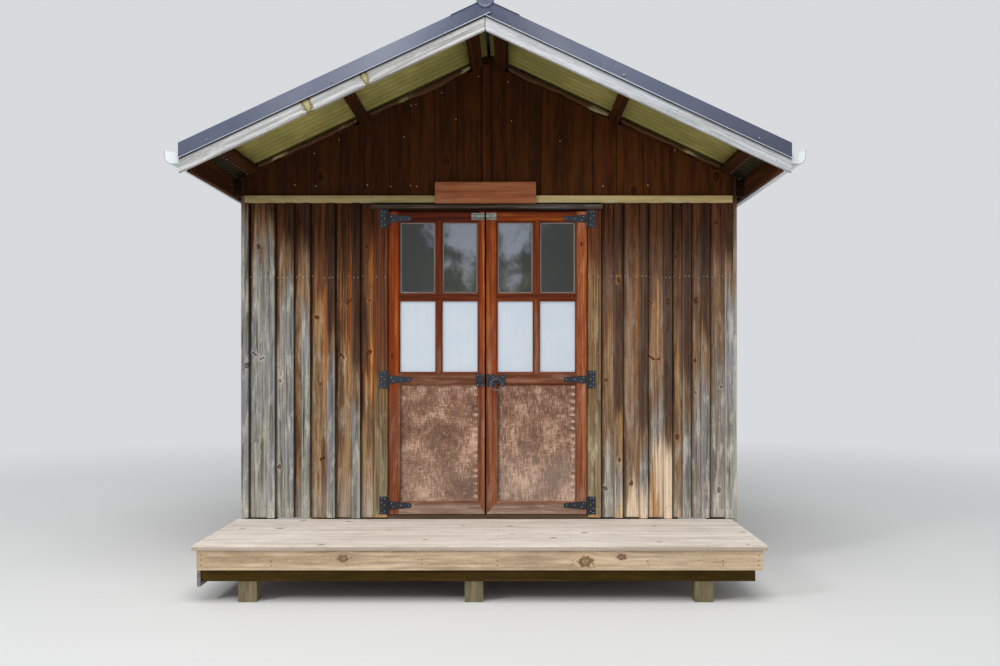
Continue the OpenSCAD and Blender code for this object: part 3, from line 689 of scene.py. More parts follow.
@dataclass(frozen=True)
class Timber:
    """A timber finish: the stained or fresh wood, the worn, the grey and the bare wood.

    Each pair of colours is the dark and the light side of its streaks. Haze greys the stain of
    boards with chill, tinge is the second hue of the grey, warm and golden colour the borders,
    knots and gleams of warm boards and the painted highlight along a lit last edge, and pale is
    the bleached bloom on worn wood. Even is how much of the warmth lies all over. Joint is how
    far from its first and last edge a board gets painted shade, the shadow of a batten or
    flashing in its corner, which is as dark as grime says. Arris is how pale the edges are, from
    worn stain and, on the first edge, a painted highlight. Shelter is how many metres further
    down the stain lasts beside a batten, eaves how much painted shade of the eaves darkens the
    top, and base the colour below a height. Foot is how bleached the lowest part is, and tinged
    how much of the grey is tinge. Inside colours the walls' inner faces, which no weather
    reaches. Knot reach is how far the fibres swerve round a knot. Relief is the grain's depth in
    metres.
    """

    name: str
    fresh: tuple[Colour, Colour]
    worn: tuple[Colour, Colour]
    grey: tuple[Colour, Colour]
    warm: Colour
    knot: Colour
    golden: Colour = rgb(212, 158, 84)
    haze: Colour = rgb(118, 98, 86)
    tinge: Colour = rgb(142, 142, 154)
    pale: Colour = rgb(206, 202, 188)
    core: Colour = rgb(124, 84, 52)
    bare: tuple[Colour, Colour] = (rgb(178, 132, 84), rgb(234, 208, 178))
    base: Colour = rgb(206, 148, 84)
    inside: tuple[Colour, Colour] | None = None
    below: float = -9.0
    rings: float = 0.25
    fibres: float = 0.25
    cracks: float = 0.5
    bleach: float = 0.6
    specks: float = 0.35
    whorls: float = 0.5
    even: float = 0.0
    joint: Span = (-1.0, -1.0)
    grime: float = 0.8
    arris: float = 0.0
    shelter: float = 0.0
    foot: float = 0.0
    tinged: float = 0.6
    eaves: float = 0.0
    ring_width: float = 0.011
    streak_width: float = 0.03
    knot_size: float = 0.012
    knot_stretch: float = 0.62
    knot_tilt: float = 0.0
    knot_reach: float = 2.2
    ragged: float = 0.35
    by_height: bool = True
    rough: float = 0.8
    gloss: float = 0.10
    relief: float = 0.0008
    run: Run = Run.MARKED

    def marks(self, net: Net) -> dict[str, Value]:
        """Gives the marks, or works them out from the place for a CAD node."""
        if self.run is Run.MARKED:
            return {name: net.mark(name) for name in MARKS}
        x, y, z = net.split(net.here())
        side, length = {Run.ALONG_X: (y + z, x), Run.ALONG_Y: (x + z, y),
                        Run.ALONG_Z: (x + y, z)}[self.run]
        member, new = net.flow(x * 2.1, y * 2.1, z * 2.1, detail=0.0), Wear()
        return {"grain": net.join(side, 0.5, length), "tint": net.join(member * 0.02, 0.4, 0.0),
                "fade": (new.worn, new.grey, new.bare), "glow": net.join(new.warm, 0.0, 0.0),
                "knot_across": (9.0, 9.0, 9.0), "knot_along": (9.0, 9.0, 9.0)}

    def material(self) -> bpy.types.Material:
        """Builds the material.

        Near and far are how close a point is to the first and the last edge that shows. The
        first one lies in the shelter of the batten, so its stain wears off further down. Beside
        the first edge the batten's shadow is painted as shade, the last edge of a lit board gets
        a warm painted highlight, and the top of a board darkens with painted shade of the eaves.
        """
        material, net = surface(self.name)
        marks = self.marks(net)
        x, y, height = net.split(net.here())
        across, edge, along = net.split(marks["grain"])
        right = edge - across * 2.0
        seed, chill, dark = net.split(marks["tint"])
        warm, lit, gleam = net.split(marks["glow"])
        near = net.rise(edge, self.joint[0] + 0.038, self.joint[0] + 0.004)
        far = net.rise(right, self.joint[1] + 0.036, self.joint[1] + 0.002)
        place = {"Grain": marks["grain"], "Tint": marks["tint"]}
        grain = net.use(GRAIN, {**place, "Knot across": marks["knot_across"],
                                "Knot along": marks["knot_along"], "Knot size": self.knot_size,
                                "Knot stretch": self.knot_stretch, "Knot tilt": self.knot_tilt,
                                "Knot reach": self.knot_reach, "Ring width": self.ring_width,
                                "Streak width": self.streak_width})
        high = height + near * self.shelter if self.by_height else 0.0
        fading = net.use(FADING, {**place, "Fade": marks["fade"], "Ragged": self.ragged,
                                  "Height": high})
        tone = net.rise(grain["Streaks"], 0.38, 0.62)
        hue = net.rise(grain["Patches"], 0.40, 0.60)
        bloom = net.rise(grain["Mottle"], 0.50, 0.68)
        cloud = net.rise(grain["Mottle"], 0.38, 0.62)
        # Below the eaves a board is open to the weather and out of their painted shade: haze,
        # warmth, the painted highlights, gleams and pale edges fade out towards the top.
        exposed_and_lit = net.rise(height, 2.25, 1.75) if self.by_height else 1.0
        fresh = net.mix(net.mix(*self.fresh, tone), self.haze,
                        chill * exposed_and_lit * (0.4 + 0.6 * cloud))
        worn = net.mix(net.mix(*self.worn, tone), self.haze, chill * 0.35)
        grey = net.mix(net.mix(*self.grey, tone), self.tinge, hue * self.tinged)
        grey = net.mix(grey, self.haze, chill * 0.45)
        colour = net.mix(net.mix(fresh, worn, fading["Worn"]), grey, fading["Grey"])
        share = (fading["Worn"] * 0.45 + fading["Grey"] * 0.55) * bloom * self.bleach
        if self.foot > 0.0:
            share = share + net.rise(height, 0.66, 0.33) * self.foot * (0.4 + 0.6 * tone)
        colour = net.mix(colour, self.pale, net.math("MINIMUM", share, 0.9))
        colour = net.mix(colour, net.mix(*self.bare, net.rise(grain["Patches"], 0.36, 0.54)),
                         fading["Bare"] * (0.75 + tone * 0.25))
        border = fading["Worn"] * (1.0 - fading["Worn"]) * 3.2
        slow = net.rise(net.flow(seed * 9, along * 1.5, 5.0, detail=1.0), 0.38, 0.56)
        lower = net.rise(height, 0.90, 1.35) if self.by_height else 1.0
        # Painted highlight: lit boards turn warm along their last edge, where light from the left
        # falls; warm borders and knot halos are the wood's own colour.
        glow = warm * (border * tone * 0.5 + grain["Halo"] * tone * 0.6) + lit * far * (
            0.2 + 0.8 * slow) * lower
        glow = glow * (1.0 - fading["Grey"] * 0.75) * exposed_and_lit + warm * self.even * (
            0.5 + 0.5 * lower)
        gold = net.mix(self.warm, self.golden, net.rise(grain["Streaks"], 0.48, 0.62))
        colour = net.mix(colour, gold, net.math("MINIMUM", glow, 0.9))
        gleams = grain["Gleams"] * gleam * exposed_and_lit * (0.25 + 0.75 * lower) * (0.5 + 0.5 * cloud)
        colour = net.mix(colour, self.golden, net.math("MINIMUM", gleams, 0.9))
        core = net.mix(self.core, self.knot, fading["Grey"] * 0.8)
        colour = net.mix(colour, self.pale, grain["Halo"] * fading["Grey"] * 0.35)
        colour = net.mix(colour, core, grain["Knots"] * (0.8 - fading["Grey"] * 0.3))
        knots = grain["Knots"] * grain["Whorls"] * self.whorls + grain["Rims"] * 0.9
        colour = net.mix(colour, self.knot, net.math("MINIMUM", knots, 0.9))
        # Pale edges: stain worn off both edges, and on the first edge also a painted highlight.
        worn_and_lit_edge = net.rise(edge, 0.006, 0.001) + net.rise(right, 0.004, 0.001) * 0.4
        colour = net.mix(colour, self.pale, exposed_and_lit * worn_and_lit_edge * (0.25 + 0.75 * slow)
                         * (0.4 + 0.6 * fading["Worn"]) * (1.0 - chill * 0.5) * self.arris)
        if self.below > 0.0:
            line = net.rise(height, self.below, self.below - 0.006)
            line = line * (1.0 - fading["Grey"] * self.foot * 2.2)
            colour = net.mix(colour, self.base, line * 0.6)
        if self.inside:
            room = (net.rise(net.math("ABSOLUTE", x), WALL_X - 0.018, WALL_X - 0.0195)
                    * net.rise(y, WALL_Y + 0.018, WALL_Y + 0.0195)
                    * net.rise(y, BACK_Y - 0.018, BACK_Y - 0.0195))
            colour = net.mix(colour, net.mix(*self.inside, tone), room)
        lines = grain["Rings"] * self.rings + grain["Fibres"] * self.fibres
        cracks = grain["Cracks"] * (0.25 + fading["Grey"] * 0.75) * self.cracks
        light = (1.0 + 0.5 * self.rings + 0.5 * self.fibres) - lines - cracks * 0.5 - dark * 0.5
        light = net.math("MAXIMUM", light - grain["Specks"] * self.specks, 0.12)
        # Painted shade: dark bands along the first and last edge that shows, where a batten or
        # flashing shades the board, and a softer shade further in from the first edge; grime sets
        # how dark.
        first = net.rise(edge, self.joint[0] + 0.016, self.joint[0] + 0.003)
        last = net.rise(right, self.joint[1] + 0.008, self.joint[1])
        light = light * (1.0 - first * self.grime) * (1.0 - last * self.grime * 0.4)
        light = light * (1.0 - near * self.grime * 0.3)
        # Painted shade of the eaves: the top of each board darkens, more on dark boards.
        if self.by_height:
            light = light * (1.0 - net.rise(height, 1.65, 2.32) * (self.eaves + dark * 0.5))
        colour = net.shade(colour, light)
        rough = self.rough + grain["Fibres"] * 0.16 - 0.08
        relief = grain["Fibres"] * 0.6 - grain["Rings"] * 0.5 - cracks * 1.6 + grain["Knots"] * 0.5
        net.coat(colour, rough, net.bump(relief, self.relief), {"Specular IOR Level": self.gloss})
        return material


@dataclass(frozen=True)
class Ply:
    """The weathered ply of the doors' lower panels: worn streaks, scratches and pale blotches."""

    name: str
    dark: Colour
    middle: Colour
    pale: Colour
    ash: Colour
    red: Colour

    def material(self) -> bpy.types.Material:
        """Builds the material.

        Strokes are noise stretched along Z, and weft is noise along X. Scratches are the thin
        lines where a bent noise passes its middle. Dents lie every 43 mm, where the sine of the
        height is high, beside the last edge. Ash grows towards the foot, as the warm mark says.
        """
        material, net = surface(self.name)
        across, edge, z = net.split(net.mark("grain"))
        seed, _, _ = net.split(net.mark("tint"))
        ashen, _, _ = net.split(net.mark("glow"))
        x = across + seed * 7.0
        strokes = net.flow(x * 170, seed, z * 22, detail=4.0, rough=0.7)
        weft = net.flow(x * 14, 5.0, z * 150, detail=4.0, rough=0.66)
        clouds = net.flow(x * 5.5, 2.0, z * 5.0, detail=3.0, bend=0.4)
        blots = net.flow(x * 24, 3.0, z * 20, detail=5.0, rough=0.75)
        fine = net.flow(x * 330, 6.0, z * 190, detail=2.0, rough=0.7)
        both = strokes * 0.28 + weft * 0.15 + blots * 0.16 + clouds * 0.29 + fine * 0.12
        colour = net.mix(self.dark, self.middle, net.rise(both, 0.42, 0.54))
        colour = net.mix(colour, self.red, net.rise(z + (clouds - 0.5), 0.92, 1.12) * 0.4)
        low = net.rise(z + (clouds - 0.5) * 0.5, 0.86, 0.50) * ashen
        colour = net.mix(colour, self.ash, low * (0.2 + both * 0.5))
        colour = net.mix(colour, self.pale, net.rise(both + low * 0.025, 0.495, 0.60) * 0.80)
        slant = net.flow(x * 10 + z * 6, 9.0, z * 9 - x * 6, detail=1.0, bend=0.5)
        curls = net.flow(x * 12, 4.0, z * 12, detail=1.0, bend=1.3)
        scratch = net.math("MAXIMUM",
                           net.rise(net.math("ABSOLUTE", slant - 0.5), 0.008, 0.001),
                           net.rise(net.math("ABSOLUTE", curls - 0.47), 0.008, 0.001))
        scratch = scratch * net.rise(blots, 0.45, 0.60)
        lines = net.rise(weft, 0.56, 0.66) * net.rise(clouds, 0.42, 0.60)
        right = edge - across * 2.0
        ragged = net.flow(1.0, seed * 9, z * 9, detail=2.0)
        dents = (net.rise(net.math("SINE", z * 146.0 + blots * 9.0), 0.0, 0.9)
                 * net.rise(right, ragged * 0.07 + 0.016, 0.012) * net.rise(ragged, 0.30, 0.48))
        extra = net.math("MAXIMUM", scratch * 0.7, net.math("MAXIMUM", lines * 0.3, dents * 0.9))
        colour = net.mix(colour, self.pale, extra)
        # Painted shade: the panel darkens towards its first edge, the shadow of the stile and
        # moulding beside it.
        rim = net.rise(edge, 0.034, 0.010) * 0.66
        colour = net.shade(colour, (0.80 + strokes * 0.26 + fine * 0.16) * (1.0 - rim))
        net.coat(colour, 0.72 + strokes * 0.2,
                 net.bump(strokes * 0.6 + blots * 0.5 - scratch, 0.0006))
        return material


@dataclass(frozen=True)
class Metal:
    """A coated or bare metal with dirt, specks and a soft unevenness."""

    name: str
    colour: Colour
    second: Colour
    dirt: Colour
    rough: float = 0.4
    metallic: float = 0.0
    soiled: float = 0.3
    specks: float = 0.3
    grain: float = 0.0002

    def material(self) -> bpy.types.Material:
        """Builds the material."""
        material, net = surface(self.name)
        here = net.here()
        dirt = net.use(DIRT, {"Place": here})
        clouds = net.noise(here, scale=2.3, detail=3.0)
        colour = net.mix(self.colour, self.second, net.rise(clouds, 0.35, 0.65))
        grime = dirt["Blotches"] * self.soiled * 0.5 + dirt["Runs"] * self.soiled * 0.5
        colour = net.mix(colour, self.dirt, grime)
        colour = net.mix(colour, self.dirt, dirt["Specks"] * self.specks)
        rough = self.rough + grime * 0.3 + dirt["Specks"] * 0.1
        fine = net.noise(here, scale=420.0, detail=2.0)
        net.coat(colour, rough, net.bump(fine + dirt["Blotches"] * 0.8, self.grain),
                 {"Metallic": self.metallic})
        return material


@dataclass(frozen=True)
class NailHead:
    """Nail heads that stay bright in the shade of the eaves and darken further down."""

    name: str
    bright: Colour
    dull: Colour
    border: float

    def material(self) -> bpy.types.Material:
        """Builds the material: a step at the border's height, made ragged by noise."""
        material, net = surface(self.name)
        here = net.here()
        _, _, z = net.split(here)
        spots = net.noise(here, scale=35.0, detail=2.0)
        share = net.rise(z + (spots - 0.5) * 0.9, self.border - 0.1, self.border + 0.1)
        net.coat(net.mix(self.dull, self.bright, share), 0.45 + spots * 0.3,
                 more={"Metallic": 0.3})
        return material


@dataclass(frozen=True)
class Pane:
    """Window glass, clear or frosted, with faint waves: the frosted panes are dusty, and the clear
    ones have a painted sky reflection and an olive patch.
    """

    name: str
    tint: Colour
    dust_and_reflection: Colour
    frosted: bool = False

    def material(self) -> bpy.types.Material:
        """Builds the material."""
        material, net = surface(self.name)
        here = net.here()
        dirt = net.use(DIRT, {"Place": here})
        waves = net.noise(here, scale=5.0, detail=1.0)
        if self.frosted:
            share = dirt["Blotches"] * 0.35 + dirt["Runs"] * 0.2
            glass: Value = self.tint
        else:
            # Painted reflection: on clear panes the pale patch is the sky, highest in the middle
            # and towards the top; the olive patch lies lower in the middle.
            x, _, z = net.split(here)
            film = net.flow(x * 9.0, 0.0, z * 7.0, detail=3.0, rough=0.6, bend=0.3)
            middle = net.rise(net.math("ABSOLUTE", x + 0.02), 0.50, 0.10)
            share = net.rise(film * 0.8 + middle * 0.38 + (z - 2.0) * 0.8, 0.56, 0.86) * 0.95
            low = middle * net.rise(film, 0.35, 0.65) * net.rise(z, 2.05, 1.80) * 0.55
            glass = net.mix(self.tint, rgb(128, 126, 88), low)
        through, rough, depth = (0.12, 0.34, 0.0015) if self.frosted else (0.6, 0.03, 0.004)
        net.coat(net.mix(glass, self.dust_and_reflection, share), rough + dirt["Blotches"] * 0.05,
                 net.bump(waves, depth), {"Transmission Weight": through, "IOR": 1.5})
        return material


@dataclass(frozen=True)
class Soffit:
    """The bare underside of the roof iron: olive, with dirt blotches and, towards the eaves,
    painted shade as a dark band.
    """

    name: str
    colour: Colour
    second: Colour
    film: Colour
    eaves_x: float = 1.49

    def material(self) -> bpy.types.Material:
        """Builds the material: the painted shade, in the film colour, is a smooth step of the
        distance from X = 0.
        """
        material, net = surface(self.name)
        here = net.here()
        x, _, _ = net.split(here)
        clouds = net.noise(here, scale=4.0, detail=4.0, rough=0.6)
        dirt = net.use(DIRT, {"Place": here})
        colour = net.mix(self.colour, self.second, net.rise(clouds, 0.36, 0.64))
        colour = net.mix(colour, self.film, dirt["Blotches"] * 0.16)
        # Painted shade: the underside darkens beyond the outer purlin, where the eaves gap lies in
        # shadow.
        out = net.rise(net.math("ABSOLUTE", x), self.eaves_x - 0.02, self.eaves_x + 0.03)
        net.coat(net.mix(colour, self.film, out * 0.92), 0.55 + clouds * 0.2,
                 net.bump(clouds, 0.0006))
        return material


@dataclass(frozen=True)
class Paper:
    """Building paper that has gone brown, with pale clean ends."""

    name: str
    brown: Colour
    pale: Colour

    def material(self) -> bpy.types.Material:
        """Builds the material: pale where a slow noise along X is high."""
        material, net = surface(self.name)
        here = net.here()
        x, _, _ = net.split(here)
        slow = net.flow(x * 5.0, 1.0, 4.0, detail=1.0)
        fine = net.noise(here, scale=60.0, detail=3.0)
        share = net.rise(slow + (fine - 0.5) * 0.2, 0.56, 0.68) * 0.75
        net.coat(net.mix(self.brown, self.pale, share), 0.8 + fine * 0.15,
                 net.bump(fine, 0.0008))
        return material


class Finishes:
    """Every finish of the house, built once."""

    def __init__(self) -> None:
        """Builds the materials."""
        self.walls()
        self.roof()
        self.pale_timbers()
        self.doors()
        self.rest()

    def runs(self, name: str, kinds: Sequence[Run],
             **looks: object) -> dict[Run, bpy.types.Material]:
        """Builds one finish for each way that the grain of CAD nodes runs."""
        return {run: Timber(f"{name} {run.value}", run=run, **looks).material() for run in kinds}

    def walls(self) -> None:
        """Builds the stained timbers of walls, gable and trims."""
        walls = dict(
            worn=(rgb(92, 66, 43), rgb(166, 132, 96)), grey=(rgb(96, 96, 89), rgb(170, 168, 156)),
            knot=rgb(48, 27, 17), core=rgb(116, 62, 34), rings=0.24, fibres=0.42, cracks=1.0,
            gloss=0.1, bare=(rgb(198, 150, 98), rgb(243, 218, 188)), foot=0.45,
            inside=(rgb(140, 106, 64), rgb(178, 144, 98)), knot_size=0.008, whorls=0.3)
        # Joint and grime paint the battens' shadow beside the boards, eaves paints the shade of the
        # eaves at the top of boards, battens and trims, and the battens' arris is partly a painted
        # highlight.
        self.wall = Timber(
            "wall timber", fresh=(rgb(58, 31, 15), rgb(114, 69, 40)), haze=rgb(138, 113, 95),
            warm=rgb(176, 96, 36), knot_tilt=20.0, eaves=0.26, tinged=0.35, below=0.334,
            joint=(0.025, 0.025), shelter=0.4, **walls).material()
        self.batten = Timber(
            "batten timber", fresh=(rgb(48, 29, 19), rgb(90, 58, 38)), haze=rgb(98, 80, 69),
            warm=rgb(150, 92, 38), streak_width=0.018, eaves=0.20, arris=0.6,
            golden=rgb(204, 158, 78), **walls).material()
        self.gable = Timber(
            "gable timber", fresh=(rgb(48, 20, 1), rgb(78, 40, 9)), worn=walls["worn"],
            grey=walls["worn"], warm=rgb(104, 56, 22), golden=rgb(112, 66, 28),
            haze=rgb(70, 44, 26), knot=rgb(30, 14, 6), core=rgb(60, 30, 12), by_height=False,
            cracks=0.15, rings=0.12, fibres=0.16, specks=0.1, streak_width=0.06).material()
        eaves = dict(
            fresh=(rgb(44, 20, 5), rgb(72, 36, 12)), worn=(rgb(44, 20, 5), rgb(44, 20, 5)),
            grey=walls["worn"], warm=rgb(110, 60, 20), golden=rgb(128, 76, 28),
            haze=rgb(70, 44, 26), knot=rgb(36, 18, 10), by_height=False, cracks=0.15, rings=0.14,
            fibres=0.18, specks=0.1)
        self.purlin = Timber("purlin timber", **eaves).material()
        self.fascia = Timber(
            "fascia timber", even=0.3, bleach=0.0,
            **{**eaves, "fresh": (rgb(56, 29, 8), rgb(90, 52, 18))}).material()
        self.stained = self.runs("stained", (Run.ALONG_X,), **eaves)
        self.trim = Timber(
            "trim timber", fresh=(rgb(66, 32, 17), rgb(112, 62, 37)),
            worn=(rgb(80, 62, 42), rgb(138, 112, 78)), grey=(rgb(98, 84, 60), rgb(162, 146, 114)),
            warm=rgb(150, 90, 44), haze=rgb(116, 88, 68), knot=rgb(50, 28, 18),
            pale=rgb(184, 174, 146), tinge=rgb(136, 122, 92), fibres=0.34, rings=0.3, below=0.344,
            streak_width=0.014, eaves=0.1).material()
        self.drip = Timber(
            "drip timber", fresh=(rgb(30, 24, 18), rgb(54, 45, 35)),
            worn=(rgb(40, 33, 26), rgb(70, 61, 50)), grey=(rgb(54, 48, 42), rgb(100, 94, 86)),
            warm=rgb(60, 44, 28), pale=rgb(150, 146, 138), knot=rgb(40, 30, 22), by_height=False,
            ragged=0.7).material()

    def pale_timbers(self) -> None:
        """Builds the timbers of deck, band, barge boards, sign, stumps and framing."""
        pine = dict(
            knot=rgb(112, 88, 62), core=rgb(158, 132, 102), warm=rgb(196, 150, 98),
            golden=rgb(210, 176, 124), by_height=False)
        self.deck = Timber(
            "deck timber", fresh=(rgb(219, 206, 192), rgb(246, 238, 229)),
            worn=(rgb(206, 194, 180), rgb(240, 231, 222)),
            grey=(rgb(184, 176, 170), rgb(222, 216, 212)), pale=rgb(242, 238, 234),
            tinge=rgb(206, 196, 190), below=0.315, base=rgb(150, 130, 108), rings=0.07, fibres=0.10,
            cracks=0.2, streak_width=0.04, specks=0.2, knot_size=0.009, relief=0.0005,
            **pine).material()
        self.pine = Timber(
            "dressed pine", fresh=(rgb(180, 156, 126), rgb(220, 198, 168)),
            worn=(rgb(168, 146, 116), rgb(206, 186, 156)),
            grey=(rgb(152, 138, 116), rgb(194, 180, 156)), pale=rgb(216, 204, 182),
            tinge=rgb(176, 156, 130), rings=0.16, fibres=0.16, cracks=0.35, streak_width=0.045,
            ring_width=0.018, knot_size=0.019, specks=0.3, relief=0.0005, whorls=0.8,
            **pine).material()
        stumps = dict(
            worn=(rgb(112, 102, 78), rgb(150, 142, 116)),
            grey=(rgb(128, 122, 104), rgb(172, 166, 146)), warm=rgb(140, 96, 48),
            knot=rgb(70, 50, 30), by_height=False)
        self.stump = Timber(
            "stump timber", fresh=(rgb(96, 80, 54), rgb(134, 118, 86)), **stumps).material()
        self.posts = Timber(
            "post timber", run=Run.ALONG_Z, haze=rgb(136, 132, 108),
            fresh=(rgb(92, 78, 52), rgb(140, 126, 94)), **stumps).material()
        # The barge board's joint paints the flashing's shadow as a dark band under its hem.
        self.barge = Timber(
            "barge timber", tinge=rgb(156, 158, 160),
            fresh=(rgb(148, 148, 147), rgb(208, 208, 212)),
            worn=(rgb(144, 143, 138), rgb(202, 201, 202)),
            grey=(rgb(120, 122, 104), rgb(166, 166, 150)), warm=rgb(166, 156, 100),
            golden=rgb(196, 186, 138), haze=rgb(192, 198, 209), pale=rgb(220, 220, 224),
            knot=rgb(112, 98, 60), core=rgb(186, 178, 122), by_height=False, rings=0.13,
            fibres=0.22, cracks=0.7, knot_size=0.062, knot_stretch=3.2, ring_width=0.008,
            knot_reach=0.35, streak_width=0.014, joint=(0.075, -1.0), bleach=0.7).material()
        self.cream = Timber(
            "cream timber", fresh=(rgb(172, 150, 96), rgb(198, 176, 124)),
            worn=(rgb(170, 150, 98), rgb(200, 180, 130)), tinge=rgb(160, 140, 92),
            grey=(rgb(132, 120, 72), rgb(160, 148, 96)), warm=rgb(176, 160, 96),
            golden=rgb(184, 168, 106), haze=rgb(166, 152, 100), knot=rgb(120, 100, 56),
            by_height=False, rings=0.06, fibres=0.08, cracks=0.1, specks=0.1,
            relief=0.0003).material()
        self.sign = Timber(
            "sign timber", fresh=(rgb(128, 70, 42), rgb(160, 94, 60)),
            worn=(rgb(132, 76, 46), rgb(166, 104, 68)), tinge=rgb(150, 96, 62),
            grey=(rgb(134, 84, 56), rgb(164, 112, 80)), warm=rgb(164, 94, 58),
            golden=rgb(176, 112, 72), haze=rgb(134, 84, 60), knot=rgb(90, 44, 26), by_height=False,
            rings=0.08, fibres=0.12, cracks=0.1, bleach=0.2, specks=0.1, relief=0.0003,
            rough=0.55).material()
        framing = dict(
            worn=(rgb(150, 126, 80), rgb(184, 162, 112)),
            grey=(rgb(150, 140, 112), rgb(180, 170, 140)), warm=rgb(176, 130, 72),
            knot=rgb(96, 66, 36), by_height=False, rings=0.18)
        self.framing = self.runs(
            "framing", (Run.ALONG_X, Run.ALONG_Y, Run.ALONG_Z),
            fresh=(rgb(140, 114, 68), rgb(178, 152, 100)), **framing)
        # The ground finish is a darker copy of the framing: painted shade under the floor and the
        # deck.
        self.ground = self.runs(
            "ground", (Run.ALONG_X, Run.ALONG_Y), haze=rgb(74, 56, 22),
            fresh=(rgb(60, 44, 14), rgb(88, 68, 26)), **framing)

    def doors(self) -> None:
        """Builds the doors' timbers, ply and glass."""
        doors = dict(
            worn=(rgb(98, 56, 36), rgb(142, 94, 68)), grey=(rgb(122, 96, 80), rgb(170, 146, 130)),
            knot=rgb(50, 20, 10), core=rgb(110, 54, 28), pale=rgb(190, 166, 148),
            haze=rgb(112, 72, 54), tinge=rgb(140, 112, 94),
            fresh=(rgb(68, 22, 6), rgb(112, 44, 14)), warm=rgb(150, 60, 10),
            golden=rgb(192, 110, 48), rings=0.16, fibres=0.3, cracks=0.4, specks=0.25, bleach=0.6,
            relief=0.0004, rough=0.6, gloss=0.1, knot_size=0.006, streak_width=0.02, grime=0.3)
        # The door's joint and grime paint shade along both edges of each board, most along the
        # first, and a lit edge gets a painted highlight.
        self.door = Timber("door timber", even=0.66, joint=(0.0, 0.0), **doors).material()
        self.jamb = self.runs(
            "jamb", (Run.ALONG_X, Run.ALONG_Z),
            **{**doors, "fresh": (rgb(52, 20, 8), rgb(80, 34, 16))})
        self.sill = Timber(
            "sill timber", run=Run.ALONG_X,
            **{**doors, "fresh": (rgb(64, 49, 35), rgb(98, 80, 60)),
               "haze": rgb(84, 70, 54)}).material()
        self.ply = Ply(
            "weathered ply", dark=rgb(92, 62, 46), middle=rgb(142, 104, 82),
            pale=rgb(214, 182, 158), ash=rgb(168, 152, 140), red=rgb(104, 54, 36)).material()
        self.clear = Pane("clear glass", rgb(72, 76, 72), rgb(188, 196, 210)).material()
        self.frost = Pane(
            "frosted glass", rgb(212, 223, 234), rgb(226, 232, 239), frosted=True).material()
        self.putty = Metal(
            "glazing putty", rgb(140, 134, 132), rgb(122, 114, 112), rgb(90, 74, 64), rough=0.8,
            soiled=0.3).material()

    def roof(self) -> None:
        """Builds the roof's metals and the paper."""
        self.iron = Metal(
            "roof iron", rgb(76, 83, 104), rgb(86, 93, 114), rgb(104, 105, 110), rough=0.42,
            soiled=0.16, specks=0.10).material()
        self.under = Soffit(
            "iron underside", rgb(164, 154, 84), rgb(144, 136, 70), rgb(44, 30, 16)).material()
        # The hem's near-white colour is a painted highlight along the flashings' lower edge.
        self.hem = Metal(
            "painted hem highlight", rgb(206, 210, 220), rgb(190, 196, 208), rgb(140, 142, 146), rough=0.35,
            soiled=0.2).material()
        self.white = Metal(
            "gutter white", rgb(226, 229, 232), rgb(216, 220, 224), rgb(170, 168, 156), rough=0.3,
            soiled=0.14).material()
        self.paper = Paper("building paper", rgb(84, 50, 20), rgb(176, 168, 118)).material()

    def rest(self) -> None:
        """Builds the fittings' metals."""
        self.black = Metal(
            "black iron", rgb(14, 22, 33), rgb(24, 33, 46), rgb(62, 64, 68), rough=0.45,
            soiled=0.16, specks=0.22).material()
        self.zinc = Metal(
            "zinc steel", rgb(168, 168, 160), rgb(140, 142, 136), rgb(90, 82, 66), rough=0.35,
            metallic=0.6, soiled=0.5, specks=0.3).material()
        self.screw = Metal(
            "screw steel", rgb(196, 202, 210), rgb(130, 138, 148), rgb(60, 64, 70), rough=0.4,
            metallic=0.2, soiled=0.5, specks=0.3).material()
        self.wire = Metal(
            "ring wire", rgb(128, 132, 138), rgb(88, 92, 98), rgb(52, 50, 50), rough=0.35,
            metallic=0.5, soiled=0.4, specks=0.3).material()
        self.nail = NailHead("nail heads", rgb(196, 192, 184), rgb(54, 47, 42), 1.45).material()


def slope_z(x: Union[float, Array], n: float) -> Union[float, Array]:
    """Gives the height of a line parallel to the roof, n metres out from the iron's underside."""
    return RIDGE_Z + n / COS - np.abs(x) * LEAN


def on_slope(s: Union[float, Array], n: Union[float, Array]) -> tuple:
    """Gives X and Z at s metres down the right slope and n metres out from its underside."""
    return s * COS + n * SIN, RIDGE_Z - s * SIN + n * COS


def under_iron(n: float) -> Cut:
    """Gives the top of an upright board that is cut on the slope, n metres out from the iron."""

    def end(u: Array, w: Array) -> Array:
        """Gives the height over each place across."""
        return slope_z(u, n)

    return end


def level(y: float) -> Place:
    """Gives the place of a level board that looks to the front."""
    return Place((0.0, y, 0.0), along=RIGHT)


def in_photo(x: float, y: float) -> Span:
    """Gives X and Z on the front wall of a place in the photograph, in its pixels.

    The wall shows at 159.3 pixels a metre, and (515, 360) is X 0.163 and Z 1.315.
    """
    return (x - 515) / 159.3 + 0.163, (360 - y) / 159.3 + 1.315


WALL, FACE = Place((0.0, WALL_Y, 0.0)), Place((0.0, FACE_Y, 0.0))


# Sub-assemblies


@dataclass(frozen=True)
class Strip:
    """One board or batten of the front wall: its two edges along X and how it has weathered."""

    x0: float
    x1: float
    wear: Wear


def batten(middle: float, wear: Wear, width: float = 0.050) -> Strip:
    """Gives a cover batten round its middle."""
    return Strip(middle - width / 2, middle + width / 2, wear)


